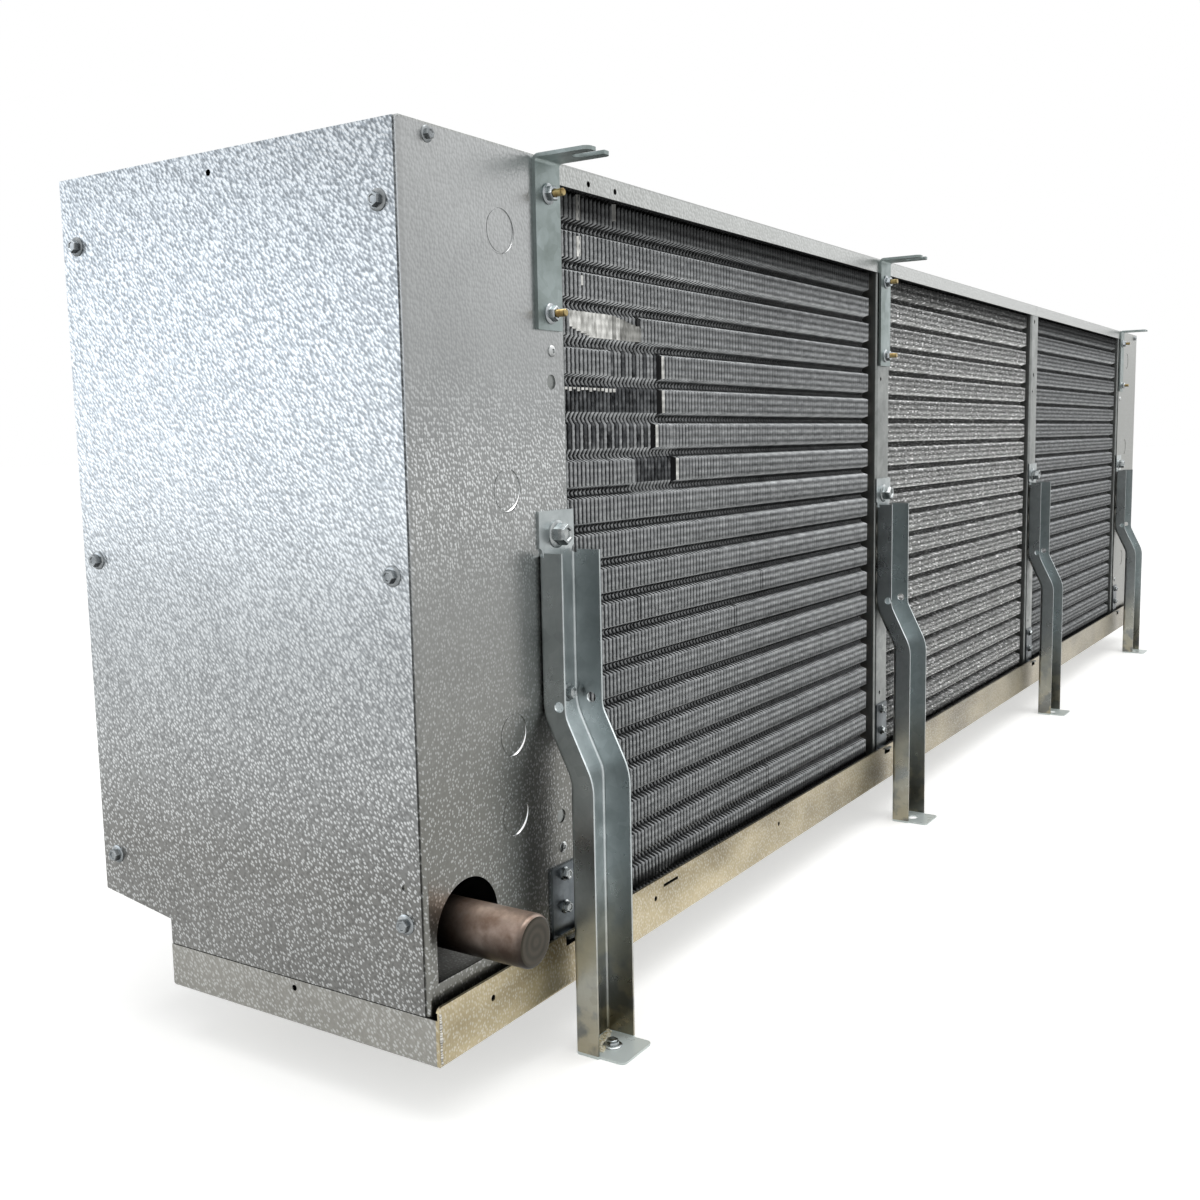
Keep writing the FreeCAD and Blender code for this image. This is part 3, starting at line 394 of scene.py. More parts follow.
def aged_copper(name, light_hex=0xC8B6AA, dark_hex=0x866F60, cap=None):
    """Drawn copper tube browned by brazing heat and air, with rubbed brighter patches. With cap,
    the place of a closed end that faces -Y, it is painted lighter on top and darker below,
    darker still inside the opening and just behind the cap's rim, and its dull face has faint
    spinning rings."""
    material, tree, place = new_material(name)
    patina = add(tree, "ShaderNodeTexNoise",
                 {"Vector": place, "Scale": per_mm(28.0), "Detail": 5.0, "Roughness": 0.6})
    share = add(tree, "ShaderNodeMapRange", span(patina, 0.35, 0.68))
    tone = add(tree, "ShaderNodeMix",
               {"Factor": share, "A": linear(dark_hex), "B": linear(light_hex)}, **COLOUR_MIX)
    if cap is not None:
        # Painted light and shade on the stub: lighter on top, darker below, in the opening and at
        # the rim.
        local = add(tree, "ShaderNodeVectorMath", {0: place, 1: cap}, operation="SUBTRACT")
        axes = add(tree, "ShaderNodeSeparateXYZ", {0: local}).node.outputs
        rise = add(tree, "ShaderNodeMapRange",
                   span(axes["Z"], -0.8 * STUB_RADIUS, 0.9 * STUB_RADIUS))
        rise = add(tree, "ShaderNodeMath", {0: rise, 1: 1.4}, operation="POWER")
        stub_light = add(tree, "ShaderNodeMath", {0: STUB_LIGHT_RANGE, 1: rise}, operation="POWER")
        inside = add(tree, "ShaderNodeMapRange", span(axes["Y"], 48 * MM, 80 * MM, 0.08, 0.025))
        stub_light = add(tree, "ShaderNodeMath", {0: stub_light, 1: inside}, **TIMES)
        rim = add(tree, "ShaderNodeMapRange", span(axes["Y"], 1 * MM, 7 * MM, 0.45, 1.0))
        stub_light = add(tree, "ShaderNodeMath", {0: stub_light, 1: rim}, **TIMES)
        tone = add(tree, "ShaderNodeVectorMath", {0: tone, "Scale": stub_light}, operation="SCALE")
        flat = add(tree, "ShaderNodeCombineXYZ", {0: axes["X"], 2: axes["Z"]})
        away = add(tree, "ShaderNodeVectorMath", {0: flat}, out="Value", operation="LENGTH")
        turns = add(tree, "ShaderNodeMath", {0: away, 1: 2 * pi / (6.9 * MM)}, **TIMES)
        ring = add(tree, "ShaderNodeMath", {0: turns}, operation="SINE")
        ring = add(tree, "ShaderNodeMapRange", span(ring, -1.0, 1.0))
        face = add(tree, "ShaderNodeMix",
                   {"Factor": ring, "A": linear(0x37342D), "B": linear(0x443F37)}, **COLOUR_MIX)
        on_cap = add(tree, "ShaderNodeMath", {0: axes["Y"], 1: 0.6 * MM}, operation="LESS_THAN")
        tone = add(tree, "ShaderNodeMix", {"Factor": on_cap, "A": tone, "B": face}, **COLOUR_MIX)
    dents = add(tree, "ShaderNodeTexNoise", {"Vector": place, "Scale": per_mm(9.0), "Detail": 3.0})
    bump = add(tree, "ShaderNodeBump", {"Height": dents, "Strength": 0.12, "Distance": 0.6 * MM})
    sheen = add(tree, "ShaderNodeMapRange", span(share, 0.0, 1.0, 0.5, 0.32))
    shader = add(tree, "ShaderNodeBsdfPrincipled",
                 {"Base Color": tone, "Metallic": 0.9, "Roughness": sheen, "Normal": bump})
    add(tree, "ShaderNodeOutputMaterial", {0: shader})
    return material


def machined_brass(name):
    """Turned brass pipe, slightly tarnished."""
    material, tree, place = new_material(name)
    tarnish = add(tree, "ShaderNodeTexNoise",
                  {"Vector": place, "Scale": per_mm(15.0), "Detail": 4.0})
    tone = add(tree, "ShaderNodeMix",
               {"Factor": tarnish, "A": linear(0x7A6232), "B": linear(0xC7A65E)}, **COLOUR_MIX)
    shader = add(tree, "ShaderNodeBsdfPrincipled",
                 {"Base Color": tone, "Metallic": 1.0, "Roughness": 0.34})
    add(tree, "ShaderNodeOutputMaterial", {0: shader})
    return material


def motor_enamel(name):
    """Sprayed dark enamel over a cast motor shell: low sheen, faint orange peel and dust."""
    material, tree, place = new_material(name)
    peel = add(tree, "ShaderNodeTexNoise", {"Vector": place, "Scale": per_mm(2.5), "Detail": 2.0})
    dust = add(tree, "ShaderNodeTexNoise", {"Vector": place, "Scale": per_mm(40.0), "Detail": 4.0})
    tone = add(tree, "ShaderNodeMix",
               {"Factor": dust, "A": linear(0x1B1C1E), "B": linear(0x33353A)}, **COLOUR_MIX)
    bump = add(tree, "ShaderNodeBump", {"Height": peel, "Strength": 0.2, "Distance": 0.3 * MM})
    shader = add(tree, "ShaderNodeBsdfPrincipled",
                 {"Base Color": tone, "Roughness": 0.45, "Normal": bump})
    add(tree, "ShaderNodeOutputMaterial", {0: shader})
    return material


def dried_mortar(name):
    """Dried mortar splashes: matt, cream, with paler and browner grains."""
    material, tree, place = new_material(name)
    grains = add(tree, "ShaderNodeTexNoise",
                 {"Vector": place, "Scale": per_mm(2.0), "Detail": 3.0})
    share = add(tree, "ShaderNodeMapRange", span(grains, 0.35, 0.65))
    tone = add(tree, "ShaderNodeMix",
               {"Factor": share, "A": linear(0xC8BA8C), "B": linear(0xFFFDF0)}, **COLOUR_MIX)
    bump = add(tree, "ShaderNodeBump", {"Height": grains, "Strength": 0.4, "Distance": 0.3 * MM})
    shader = add(tree, "ShaderNodeBsdfPrincipled",
                 {"Base Color": tone, "Roughness": 0.8, "Normal": bump})
    add(tree, "ShaderNodeOutputMaterial", {0: shader})
    return material


def background_rays(tree):
    """1 for rays that meet the white background: seen directly, in metal or through glass."""
    rays = add(tree, "ShaderNodeLightPath").node.outputs
    either = add(tree, "ShaderNodeMath", {0: rays["Is Camera Ray"], 1: rays["Is Glossy Ray"]},
                 operation="MAXIMUM")
    return add(tree, "ShaderNodeMath", {0: either, 1: rays["Is Transmission Ray"]},
               operation="MAXIMUM")


def pale_floor(name):
    """A plain white studio floor that keeps the soft shadow and burns out to white beyond it."""
    material, tree, _place = new_material(name)
    matt = add(tree, "ShaderNodeBsdfDiffuse", {"Color": linear(0xF4F4F2)})
    glow = add(tree, "ShaderNodeEmission", {"Color": linear(0xFFFFFF), "Strength": 0.47})
    both = add(tree, "ShaderNodeAddShader", {0: matt, 1: glow})
    mixed = add(tree, "ShaderNodeMixShader", {0: background_rays(tree), 1: matt, 2: both})
    add(tree, "ShaderNodeOutputMaterial", {0: mixed})
    return material


# Mesh helpers

class MeshKit:
    """Collects turned and boxed shapes, then makes one object of them."""

    def __init__(self):
        self.points = []
        self.faces = []

    def lathe(self, profile, sides, centre, axis, turn=0.0):
        """Turns (radius, height) steps round an axis that points away from the seat."""
        frame_of = Vector(axis).to_track_quat("Z", "Y").to_matrix()
        first = len(self.points)
        for radius, height in profile:
            for step in range(sides):
                angle = 2 * pi * step / sides + turn
                local = Vector((radius * cos(angle), radius * sin(angle), height))
                self.points.append(Vector(centre) + frame_of @ local)
        for ring in range(len(profile) - 1):
            for step in range(sides):
                beside = (step + 1) % sides
                low = first + ring * sides
                high = low + sides
                self.faces.append((low + step, low + beside, high + beside, high + step))
        last = first + (len(profile) - 1) * sides
        self.faces.append(tuple(first + step for step in reversed(range(sides))))
        self.faces.append(tuple(last + step for step in range(sides)))

    def sheet(self, corners, thickness):
        """A thin flat plate from four corners, thickened along its normal."""
        a, b, c, d = [Vector(corner) for corner in corners]
        lift = (b - a).cross(d - a).normalized() * thickness
        first = len(self.points)
        self.points.extend([a, b, c, d, a + lift, b + lift, c + lift, d + lift])
        for face in ((3, 2, 1, 0), (4, 5, 6, 7), (0, 1, 5, 4), (1, 2, 6, 5), (2, 3, 7, 6),
                     (3, 0, 4, 7)):
            self.faces.append(tuple(first + corner for corner in face))

    def finish(self, name, material, smooth_angle=35.0):
        """Makes the object, riding on the unit."""
        mesh = bpy.data.meshes.new(name)
        mesh.from_pydata([tuple(point) for point in self.points], [], self.faces)
        return settle(name, mesh, [material], smooth_angle)


def new_object(name, data):
    """An object of a mesh, lamp or camera, in the scene."""
    thing = bpy.data.objects.new(name, data)
    bpy.context.scene.collection.objects.link(thing)
    return thing


def settle(name, mesh, materials, smooth_angle=None):
    """Gives a mesh its materials, and lets it ride on the unit. With no angle, its faces stay
    flat."""
    for material in materials:
        mesh.materials.append(material)
    piece = new_object(name, mesh)
    if smooth_angle is not None:
        smooth_mesh(mesh, smooth_angle)
    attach(piece, "root")
    return piece


def smooth_mesh(mesh, angle):
    """Smooths the faces, and keeps edges sharper than the angle."""
    shell = bmesh.new()
    shell.from_mesh(mesh)
    limit = radians(angle)
    for face in shell.faces:
        face.smooth = True
    for edge in shell.edges:
        edge.smooth = len(edge.link_faces) == 2 and edge.calc_face_angle(0.0) < limit
    shell.to_mesh(mesh)
    shell.free()


def dress(material, *names):
    """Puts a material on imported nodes."""
    for name in names:
        mesh = NODES[name].data
        mesh.materials.clear()
        mesh.materials.append(material)
        mesh.polygons.foreach_set("material_index", [0] * len(mesh.polygons))


def hex_head(kit, centre, axis, across, height, turn):
    """A chamfered hexagon with a dished top, of a given size across its flats."""
    reach = across / 2 / cos(pi / 6)
    kit.lathe([(reach, 0.0), (reach, height * 0.82), (reach * 0.88, height),
               (reach * 0.62, height), (reach * 0.5, height * 0.84)], 6, centre, axis, turn)


def washer_screw(kit, centre, axis, size=1.0, turn=0.0):
    """Hex-head sheet screw with its pressed washer."""
    kit.lathe([(6.6 * MM * size, -0.2 * MM), (6.6 * MM * size, 0.5 * MM * size),
               (5.4 * MM * size, 1.1 * MM * size)], 28, centre, axis)
    base = Vector(centre) + Vector(axis) * 0.9 * MM * size
    hex_head(kit, base, axis, 8.0 * MM * size, 4.2 * MM * size, turn)


def flange_nut(kit, centre, axis, across, turn=0.0, flange=1.5, height=0.5):
    """Hex nut or bolt head with a flange, of a given size across its flats. The flange's diameter
    and the head's height are shares of that size."""
    rim = across * flange / 2
    kit.lathe([(rim, -0.2 * MM), (rim, 0.9 * MM), (across * 0.6, 2.0 * MM)], 30, centre, axis)
    base = Vector(centre) + Vector(axis) * 1.6 * MM
    hex_head(kit, base, axis, across, across * height, turn)


def upright_strip(kit, near, far, foot, head, thickness):
    """A standing strip of sheet between two (x, y) places, from foot to head."""
    kit.sheet([(*near, foot), (*far, foot), (*far, head), (*near, head)], thickness)


def stud(kit, centre, axis, radius, length, pitch):
    """Threaded rod with its thread drawn as fine rings."""
    profile = [(radius, -0.2 * MM)]
    rings = int(length / pitch) - 1
    for ring in range(rings):
        height = ring * pitch
        profile.append((radius, height + 0.25 * pitch))
        profile.append((radius * 0.84, height + 0.75 * pitch))
    profile.append((radius, length - 0.5 * pitch))
    profile.append((radius * 0.8, length))
    kit.lathe(profile, 16, centre, axis)


# Sizes and colours a user may change

def length_property(name, description, default_mm):
    """One length, shown in the scene's units."""
    return bpy.props.FloatProperty(name=name, description=description, default=default_mm * MM,
                                   min=0.0, unit="LENGTH")


def colour_property(name, description, hex_colour):
    """One colour."""
    return bpy.props.FloatVectorProperty(name=name, description=description, subtype="COLOR",
                                         size=4, min=0.0, max=1.0, default=linear(hex_colour))


class CoolerSizes(bpy.types.PropertyGroup):
    """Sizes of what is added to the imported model."""

    fin_pitch: length_property("Fin pitch", "Distance from one fin to the next", 6.35)
    fin_thickness: length_property("Fin thickness", "Thickness of a fin's sheet", 0.35)
    edge_strip: length_property("Edge strip", "How deep a fin's front edge strip with its painted highlight reaches", 2.8)
    edge_turn: length_property("Edge turn", "How far a fin's front edge is turned aside", 1.0)
    ripple_height: length_property("Ripple height", "How far a fin's ripples stand out", 0.5)
    tube_diameter: length_property("Tube diameter", "Outside diameter of the coil's tubes", 15.9)
    stud_diameter: length_property("Stud diameter", "Diameter of the hanger studs", 6.3)
    stud_reach: length_property("Stud reach", "How far a stud stands out of its hanger", 15.5)


class CoolerColours(bpy.types.PropertyGroup):
    """Colours of the stage."""

    sky_high: colour_property("Upper light", "Soft light from above", 0xFFFFFF)
    sky_low: colour_property("Lower light", "Soft light from below the horizon", 0x8A8780)


# Fins

# The dark core behind the fins' fronts is painted shade.
CORE_SETBACK = 3.0 * MM
FIN_REACH = 3.8 * MM
BACK_FIN_DEPTH = 3.0 * MM


def row_samples():
    """Heights within a row where a fin has points, how deep its front is cut there, and its
    ripple."""
    ripples = 6
    slope = 0.58 * NOTCH_HALF
    slope_depth = 0.81 * NOTCH_DEPTH
    samples = [(0.0, NOTCH_DEPTH, 0.0), (slope, slope_depth, 0.0)]
    for step in range(ripples + 1):
        samples.append((NOTCH_HALF + ROW_FLAT * step / ripples, 0.0, -1.0 if step % 2 else 1.0))
    samples.append((ROW_PITCH - slope, slope_depth, 0.0))
    return samples


# Where the fins' fronts are crushed back: first and last X from the first post and depth in
# millimetres, and the share of fins there that are closed up and painted dark as shade
Dent = namedtuple("Dent", "first last row depth closed")
DENTS = (
    Dent(38.0, 150.0, 16, 5.0, 0.0),
    Dent(103.0, 190.0, 15, 5.5, 0.34),
    Dent(16.0, 190.0, 14, 5.5, 1.0),
    Dent(16.0, 180.0, 13, 5.5, 0.5),
    Dent(140.0, 218.0, 12, 6.0, 1.0),
)

# The row whose fins have tips with a painted highlight, up to this far from the first post
TIPPED_ROW = 14
TIPPED_REACH = 115.0 * MM

# Single edges bent flat, with a painted highlight: X from the first post in millimetres, the
# row, and the first and last share of its flat
Bend = namedtuple("Bend", "x row foot head")
STRAY_BENDS = (
    Bend(52.5, 19, 0.0, 1.0),
    Bend(52.5, 18, 0.1, 0.9),
    Bend(109.0, 19, 0.3, 1.0),
    Bend(55.0, 17, 0.5, 0.9),
)


def row_foot(row):
    """The height at which a row's flat begins."""
    return COIL_BOTTOM + row * ROW_PITCH + NOTCH_HALF


def fin_places(bay, pitch):
    """Each fin's place along X in a bay, counted from 0."""
    start = POST_WEBS[bay] + POST_SHEET + FIN_START_GAP
    count = int((POST_WEBS[bay + 1] - FIN_END_GAP - start) / pitch)
    return [start + number * pitch for number in range(count + 1)]


def crushed(x, row):
    """How far the fin at x is crushed back in a row."""
    from_post = (x - POSTS[0]) / MM
    for dent in DENTS:
        if row == dent.row and dent.first <= from_post <= dent.last:
            return dent.depth * MM
    return 0.0


def closed_up(number, x):
    """The rows in which the numbered fin at x is crushed until hardly any light comes out."""
    from_post = (x - POSTS[0]) / MM
    return [dent.row for dent in DENTS if dent.first <= from_post <= dent.last
            and int((number + 1) * dent.closed) > int(number * dent.closed)]


def fin_stack(name, places, sizes, chance, materials):
    """Front reaches of rippled plates, each with an edge turned slightly aside whose strip carries
    a painted highlight. They end inside the coil's dark core, a stand-in painted as shade."""
    samples = row_samples()
    rises = np.array([rise for rise, _, _ in samples] * ROWS + [ROW_PITCH])
    cuts = np.array([cut for _, cut, _ in samples] * ROWS + [0.0])
    waves = np.array([wave for _, _, wave in samples] * ROWS + [0.0])
    rows = np.array([row for row in range(ROWS) for _ in samples] + [ROWS - 1])
    cuts[0] = 0.0
    z = COIL_BOTTOM + rows * ROW_PITCH + rises
    ripple = waves * sizes.ripple_height / 2
    half = sizes.fin_thickness / 2
    dark = []
    points = []
    for number, x in enumerate(places):
        # Steps of closed-up fins get the nearly black material: painted shade.
        dark.append(np.isin(rows[:-1], closed_up(number, x)) & (cuts[:-1] < NOTCH_DEPTH / 2))
        setback = cuts + np.array([crushed(x, row) for row in rows]) * (cuts < NOTCH_DEPTH / 2)
        lean_of_row = np.array([
            chance.gauss(0.0, 0.09) + (chance.random() < 0.02) * chance.uniform(-1.2, 1.2)
            for _row in range(ROWS)]) * MM
        lean = lean_of_row[rows] + sizes.edge_turn
        front_y = FIN_FRONT + setback
        across = x + ripple
        ring = np.stack([
            np.stack([across + lean - half, front_y, z], 1),
            np.stack([across + lean + half, front_y, z], 1),
            np.stack([across + half, front_y + FIN_REACH, z], 1),
            np.stack([across - half, front_y + FIN_REACH, z], 1),
            np.stack([across - half, front_y + sizes.edge_strip, z], 1),
        ], 1)
        points.append(ring.reshape(-1, 3))
    quads, kinds = stacked_quads(len(z), dark)
    piece = mesh_from_arrays(name, np.concatenate(points), quads, materials)
    piece.data.polygons.foreach_set("material_index", kinds)
    return piece


def stacked_quads(steps, dark):
    """Walls between each plate's rings of five points. The front wall and the strip behind it are
    the plate's edge, and the wall inside the core is left out. Each plate has its list of steps
    painted dark as shade."""
    corners = 5
    hidden_wall = 2
    edge_walls = (0, 4)
    faces = []
    kinds = []
    for plate, dark_steps in enumerate(dark):
        low = plate * steps * corners + corners * np.arange(steps - 1)
        for wall in range(corners):
            if wall == hidden_wall:
                continue
            beside = (wall + 1) % corners
            faces.append(np.stack([low + wall, low + beside, low + corners + beside,
                                   low + corners + wall], 1))
            kinds.append(np.where(dark_steps, 2, int(wall in edge_walls)).astype(np.int32))
    return np.concatenate(faces), np.concatenate(kinds)


def core_outline(x):
    """The dark core's section at x: the fins' scallops, set back, with a plain back."""
    outline = []
    for row in range(ROWS):
        low = COIL_BOTTOM + row * ROW_PITCH
        dent = crushed(x, row)
        for rise, cut, _wave in row_samples():
            if row == 0 and rise == 0.0:
                cut = 0.0
            outline.append((FIN_FRONT + CORE_SETBACK + cut + dent * (cut < NOTCH_DEPTH / 2),
                            low + rise))
    top = COIL_TOP - SHEET
    outline.append((FIN_FRONT + CORE_SETBACK, top))
    outline.append((FIN_BACK - BACK_FIN_DEPTH, top))
    outline.append((FIN_BACK - BACK_FIN_DEPTH, COIL_BOTTOM))
    return outline


def core_block(name, start, end, material):
    """A prism with the core's section, stepped back where the fins are crushed."""
    edges = sorted({POSTS[0] + x * MM for dent in DENTS for x in (dent.first, dent.last)})
    stops = [start, *[x for x in edges if start < x < end], end]
    points = []
    faces = []
    for low, high in zip(stops, stops[1:]):
        for x in (low, high):
            points.extend([(x, y, z) for y, z in core_outline((low + high) / 2)])
    steps = len(core_outline(start))
    rings = len(points) // steps
    for ring in range(rings - 1):
        for step in range(steps):
            beside = (step + 1) % steps
            faces.append((ring * steps + step, ring * steps + steps + step,
                          ring * steps + steps + beside, ring * steps + beside))
    faces.append(tuple(range(steps)))
    faces.append(tuple((rings - 1) * steps + step for step in reversed(range(steps))))
    mesh = bpy.data.meshes.new(name)
    mesh.from_pydata(points, [], faces)
    shell = bmesh.new()
    shell.from_mesh(mesh)
    bmesh.ops.dissolve_degenerate(shell, edges=shell.edges, dist=0.01 * MM)
    bmesh.ops.remove_doubles(shell, verts=shell.verts, dist=0.001 * MM)
    shell.to_mesh(mesh)
    shell.free()
    return settle(name, mesh, [material], 30.0)


def back_fins(kit, places, sizes):
    """The fins' back edges, plain and straight."""
    half = sizes.fin_thickness / 2
    root = FIN_BACK - BACK_FIN_DEPTH - 0.5 * MM
    for x in places:
        upright_strip(kit, (x - half, root), (x - half, FIN_BACK), COIL_BOTTOM, COIL_TOP,
                      -sizes.fin_thickness)


def mesh_from_arrays(name, points, quads, materials):
    """A mesh object from arrays of points and four-cornered faces."""
    mesh = bpy.data.meshes.new(name)
    mesh.vertices.add(len(points))
    mesh.vertices.foreach_set("co", points.astype(np.float32).ravel())
    mesh.loops.add(len(quads) * 4)
    mesh.loops.foreach_set("vertex_index", quads.astype(np.int32).ravel())
    mesh.polygons.add(len(quads))
    mesh.polygons.foreach_set("loop_start", np.arange(0, len(quads) * 4, 4, dtype=np.int32))
    mesh.update(calc_edges=True)
    return settle(name, mesh, materials)


class COOLER_OT_fins(bpy.types.Operator):
    """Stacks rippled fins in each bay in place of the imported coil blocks."""

    bl_idname = "cooler.fins"
    bl_label = "Fins"

    def execute(self, context):
        sizes = context.scene.cooler_sizes
        chance = random.Random(31)
        lit_below = {"top": 0.75, "foot": 1.2}
        lit_above = {"top": 0.85, "foot": 0.75}
        # Lit and shaded copies of one aluminium: bay 2 painted lighter, bay 3 painted darker,
        # each edge strip a painted highlight, and crushed fins nearly black as painted shade.
        looks = (
            (fin_aluminium("Rolled_aluminium_fins", 0x8A8C8E, 0x646668, 0.42),
             fin_aluminium("Fin_edges_painted_highlight", 0x969899, 0x727475, 0.34),
             fin_aluminium("Crushed_fin_edges_painted_shade", 0x66686A, 0x101214, 0.4, lie=(1.2, 0.15, 0.3))),
            (fin_aluminium("Painted_lighter_aluminium_fins", 0x787A7B, 0x545657, 0.4, sparkle=0.4,
                           **lit_below),
             fin_aluminium("Painted_lighter_fin_edges", 0x9A9B9A, 0x6C6D6C, 0.3, sparkle=0.9,
                           **lit_below)),
            (fin_aluminium("Painted_darker_aluminium_fins", 0x4E5052, 0x36383A, 0.42, sparkle=0.15,
                           **lit_above),
             fin_aluminium("Painted_darker_fin_edges", 0x949697, 0x6C6E6F, 0.36, sparkle=0.25,
                           **lit_above)),
        )
        depths = shaded_depths("Painted_shade_fin_depths")
        inset = 0.5 * MM
        for bay, number in enumerate(BAY_NUMBERS):
            places = fin_places(bay, sizes.fin_pitch)
            half = len(places) // 2
            for letter, share in (("a", places[:half]), ("b", places[half:])):
                fin_stack("fins_%d_%s" % (number, letter), share, sizes, chance, looks[bay])
            core = core_block("coil_core_%d" % number, places[0] + inset, places[-1] - inset,
                              depths)
            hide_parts("fin_pack_%d" % number)
            kit = MeshKit()
            back_fins(kit, places, sizes)
            kit.finish("back_fins_%d" % number, looks[bay][0])
        return {"FINISHED"}


class COOLER_OT_bent_fins(bpy.types.Operator):
    """Lays the flattened fin tips of the first bay over each other like shingles."""

    bl_idname = "cooler.bent_fins"
    bl_label = "Flattened fins"

    def execute(self, context):
        sizes = context.scene.cooler_sizes
        chance = random.Random(5)
        kit = MeshKit()
        dull_kit = MeshKit()
        pitch = sizes.fin_pitch
        thickness = sizes.fin_thickness
        places = fin_places(0, pitch)
        flattened, *closed_dents = DENTS
        fins = [x for x in places if x <= POSTS[0] + flattened.last * MM]
        laid = [x for x in fins if x >= POSTS[0] + flattened.first * MM]
        low = row_foot(flattened.row)
        for number, x in enumerate(laid):
            share = number / len(laid)
            foot = low + ROW_FLAT * max(0.0, 0.45 - 1.6 * share) * 0.8
            head = low + ROW_FLAT * (1.0 - 0.45 * max(0.0, share - 0.55) / 0.45)
            root = (x, FIN_FRONT + flattened.depth * MM + 0.3 * MM)
            front = FIN_FRONT + chance.uniform(0.9, 2.4) * MM
            tip = (x + pitch * chance.uniform(1.15, 1.35), front)
            # Lit and shaded copies of one aluminium: some laid fins get painted light, the rest
            # painted shade.
            lit = kit if share < chance.uniform(0.45, 0.75) else dull_kit
            upright_strip(lit, root, tip, foot, head, thickness)
        for dent in closed_dents:
            x = next(x for x in places if x > POSTS[0] + dent.last * MM) - thickness
            low = row_foot(dent.row)
            upright_strip(kit, (x - 0.45 * pitch, FIN_FRONT + 1.2 * MM), (x, FIN_FRONT), low,
                          low + ROW_FLAT, thickness)
        low = row_foot(TIPPED_ROW)
        for x in fins:
            depth = crushed(x, TIPPED_ROW)
            if depth and x < POSTS[0] + TIPPED_REACH:
                foot = low + ROW_FLAT * chance.uniform(0.84, 0.92)
                tip = (x + 0.3 * pitch, FIN_FRONT + depth - 1.5 * MM)
                upright_strip(kit, (x, FIN_FRONT + depth), tip, foot, low + ROW_FLAT, thickness)
        for bend in STRAY_BENDS:
            x = POSTS[0] + bend.x * MM
            low = row_foot(bend.row)
            upright_strip(kit, (x, FIN_FRONT + 2.5 * MM), (x + 0.4 * pitch, FIN_FRONT),
                          low + bend.foot * ROW_FLAT, low + bend.head * ROW_FLAT, thickness)
        # The lit material paints the highlight on flattened fins, crushed ends, tips and stray
        # bends.
        flat_lie = {"top": 1.0, "foot": 1.0, "sparkle": 0.1, "lie": (1.0, 0.15, 0.3)}
        bright = fin_aluminium("Lit_flattened_aluminium_fins", 0xDADAD6, 0x8C8C88, 0.24, **flat_lie)
        kit.finish("flattened_fins", bright)
        dull = fin_aluminium("Shaded_flattened_aluminium_fins", 0x9C9C98, 0x5E5E5B, 0.3, **flat_lie)
        dull_kit.finish("dull_flattened_fins", dull)
        return {"FINISHED"}


class COOLER_OT_tubes(bpy.types.Operator):
    """Runs the coil's tubes out of the fins to the next post."""

    bl_idname = "cooler.tubes"
    bl_label = "Coil tubes"

    def execute(self, context):
        sizes = context.scene.cooler_sizes
        inset = 19.0 * MM
        columns = 4
        column_pitch = (FIN_BACK - FIN_FRONT - 2 * inset) / (columns - 1)
        tube = aged_copper("Copper_coil_tube", 0xC6BEB6, 0x8A827A)
        length = FIN_END_GAP + sizes.fin_pitch + 2.0 * MM
        radius = sizes.tube_diameter / 2
        for number, end in zip(BAY_NUMBERS, POST_WEBS[1:]):
            kit = MeshKit()
            for column in range(columns):
                y = FIN_FRONT + inset + column * column_pitch
                for row in range(ROWS - column % 2):
                    z = COIL_BOTTOM + (row + 0.5 + 0.5 * (column % 2)) * ROW_PITCH
                    kit.lathe([(radius, 0.0), (radius, length)], 20, (end - length, y, z),
                              (1, 0, 0))
            kit.finish("coil_tubes_%d" % number, tube)
        return {"FINISHED"}


# Sheet, posts, legs and hangers

class COOLER_OT_sheet(bpy.types.Operator):
    """Finishes the embossed covers, panels and pan."""

    bl_idname = "cooler.sheet"
    bl_label = "Embossed sheet"

    def execute(self, context):
        # Copies of one embossed sheet, whose tones, glints and bands are painted light and shade
        # per panel.
        cover = stucco_sheet(
            "Stucco_embossed_galvanised_sheet", tones=(0x7C7C7A, 0xAEB3B7, 0x9EA4A9),
            shaded_below=130 * MM, bright_above=410 * MM, relief=0.5, painted_glints=(0.36, 0.45),
            band=(215 * MM, 130 * MM, 0.15), painted_shade=0.14)
        side = stucco_sheet(
            "Stucco_embossed_sheet_coil_side", tones=(0x747470, 0x969898, 0xACAEAE),
            shaded_below=190 * MM, bright_above=480 * MM, relief=0.12, painted_glints=(0.27, 0.04),
            band=(430 * MM, 110 * MM, 0.6))
        strip = stucco_sheet(
            "Stucco_embossed_sheet_far_end", tones=(0x7A7A74, 0x8C8E8A, 0x929490),
            shaded_below=60 * MM, bright_above=560 * MM, relief=0.08, painted_glints=(0.1, 0.1),
            band=(420 * MM, 150 * MM, 0.1))
        pan = stucco_sheet(
            "Stucco_embossed_pan_sheet", tones=(0x8C8B86, 0x92918C, 0x94938D),
            shaded_below=0 * MM, bright_above=60 * MM, relief=0.16, painted_glints=(0.19, 0.19),
            band=(20 * MM, 60 * MM, 0.1), warm_wall=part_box("drain_pan")[0].y + 3.0 * MM)
        top = stucco_sheet(
            "Stucco_embossed_top_sheet", tones=(0xA6A8A6, 0xA6A8A6, 0xA8AAA8),
            shaded_below=60 * MM, bright_above=560 * MM, relief=0.14, painted_glints=(0.14, 0.14),
            band=(420 * MM, 150 * MM, 0.0))
        dress(cover, "left_end_cover", "right_end_cover", "bottom_panel", "left_front_panel",
              "right_front_panel", *numbered("fan_panel", BAY_NUMBERS))
        dress(side, "left_back_panel")
        dress(strip, "right_back_panel")
        dress(top, "top_cover")
        dress(pan, "drain_pan")
        return {"FINISHED"}


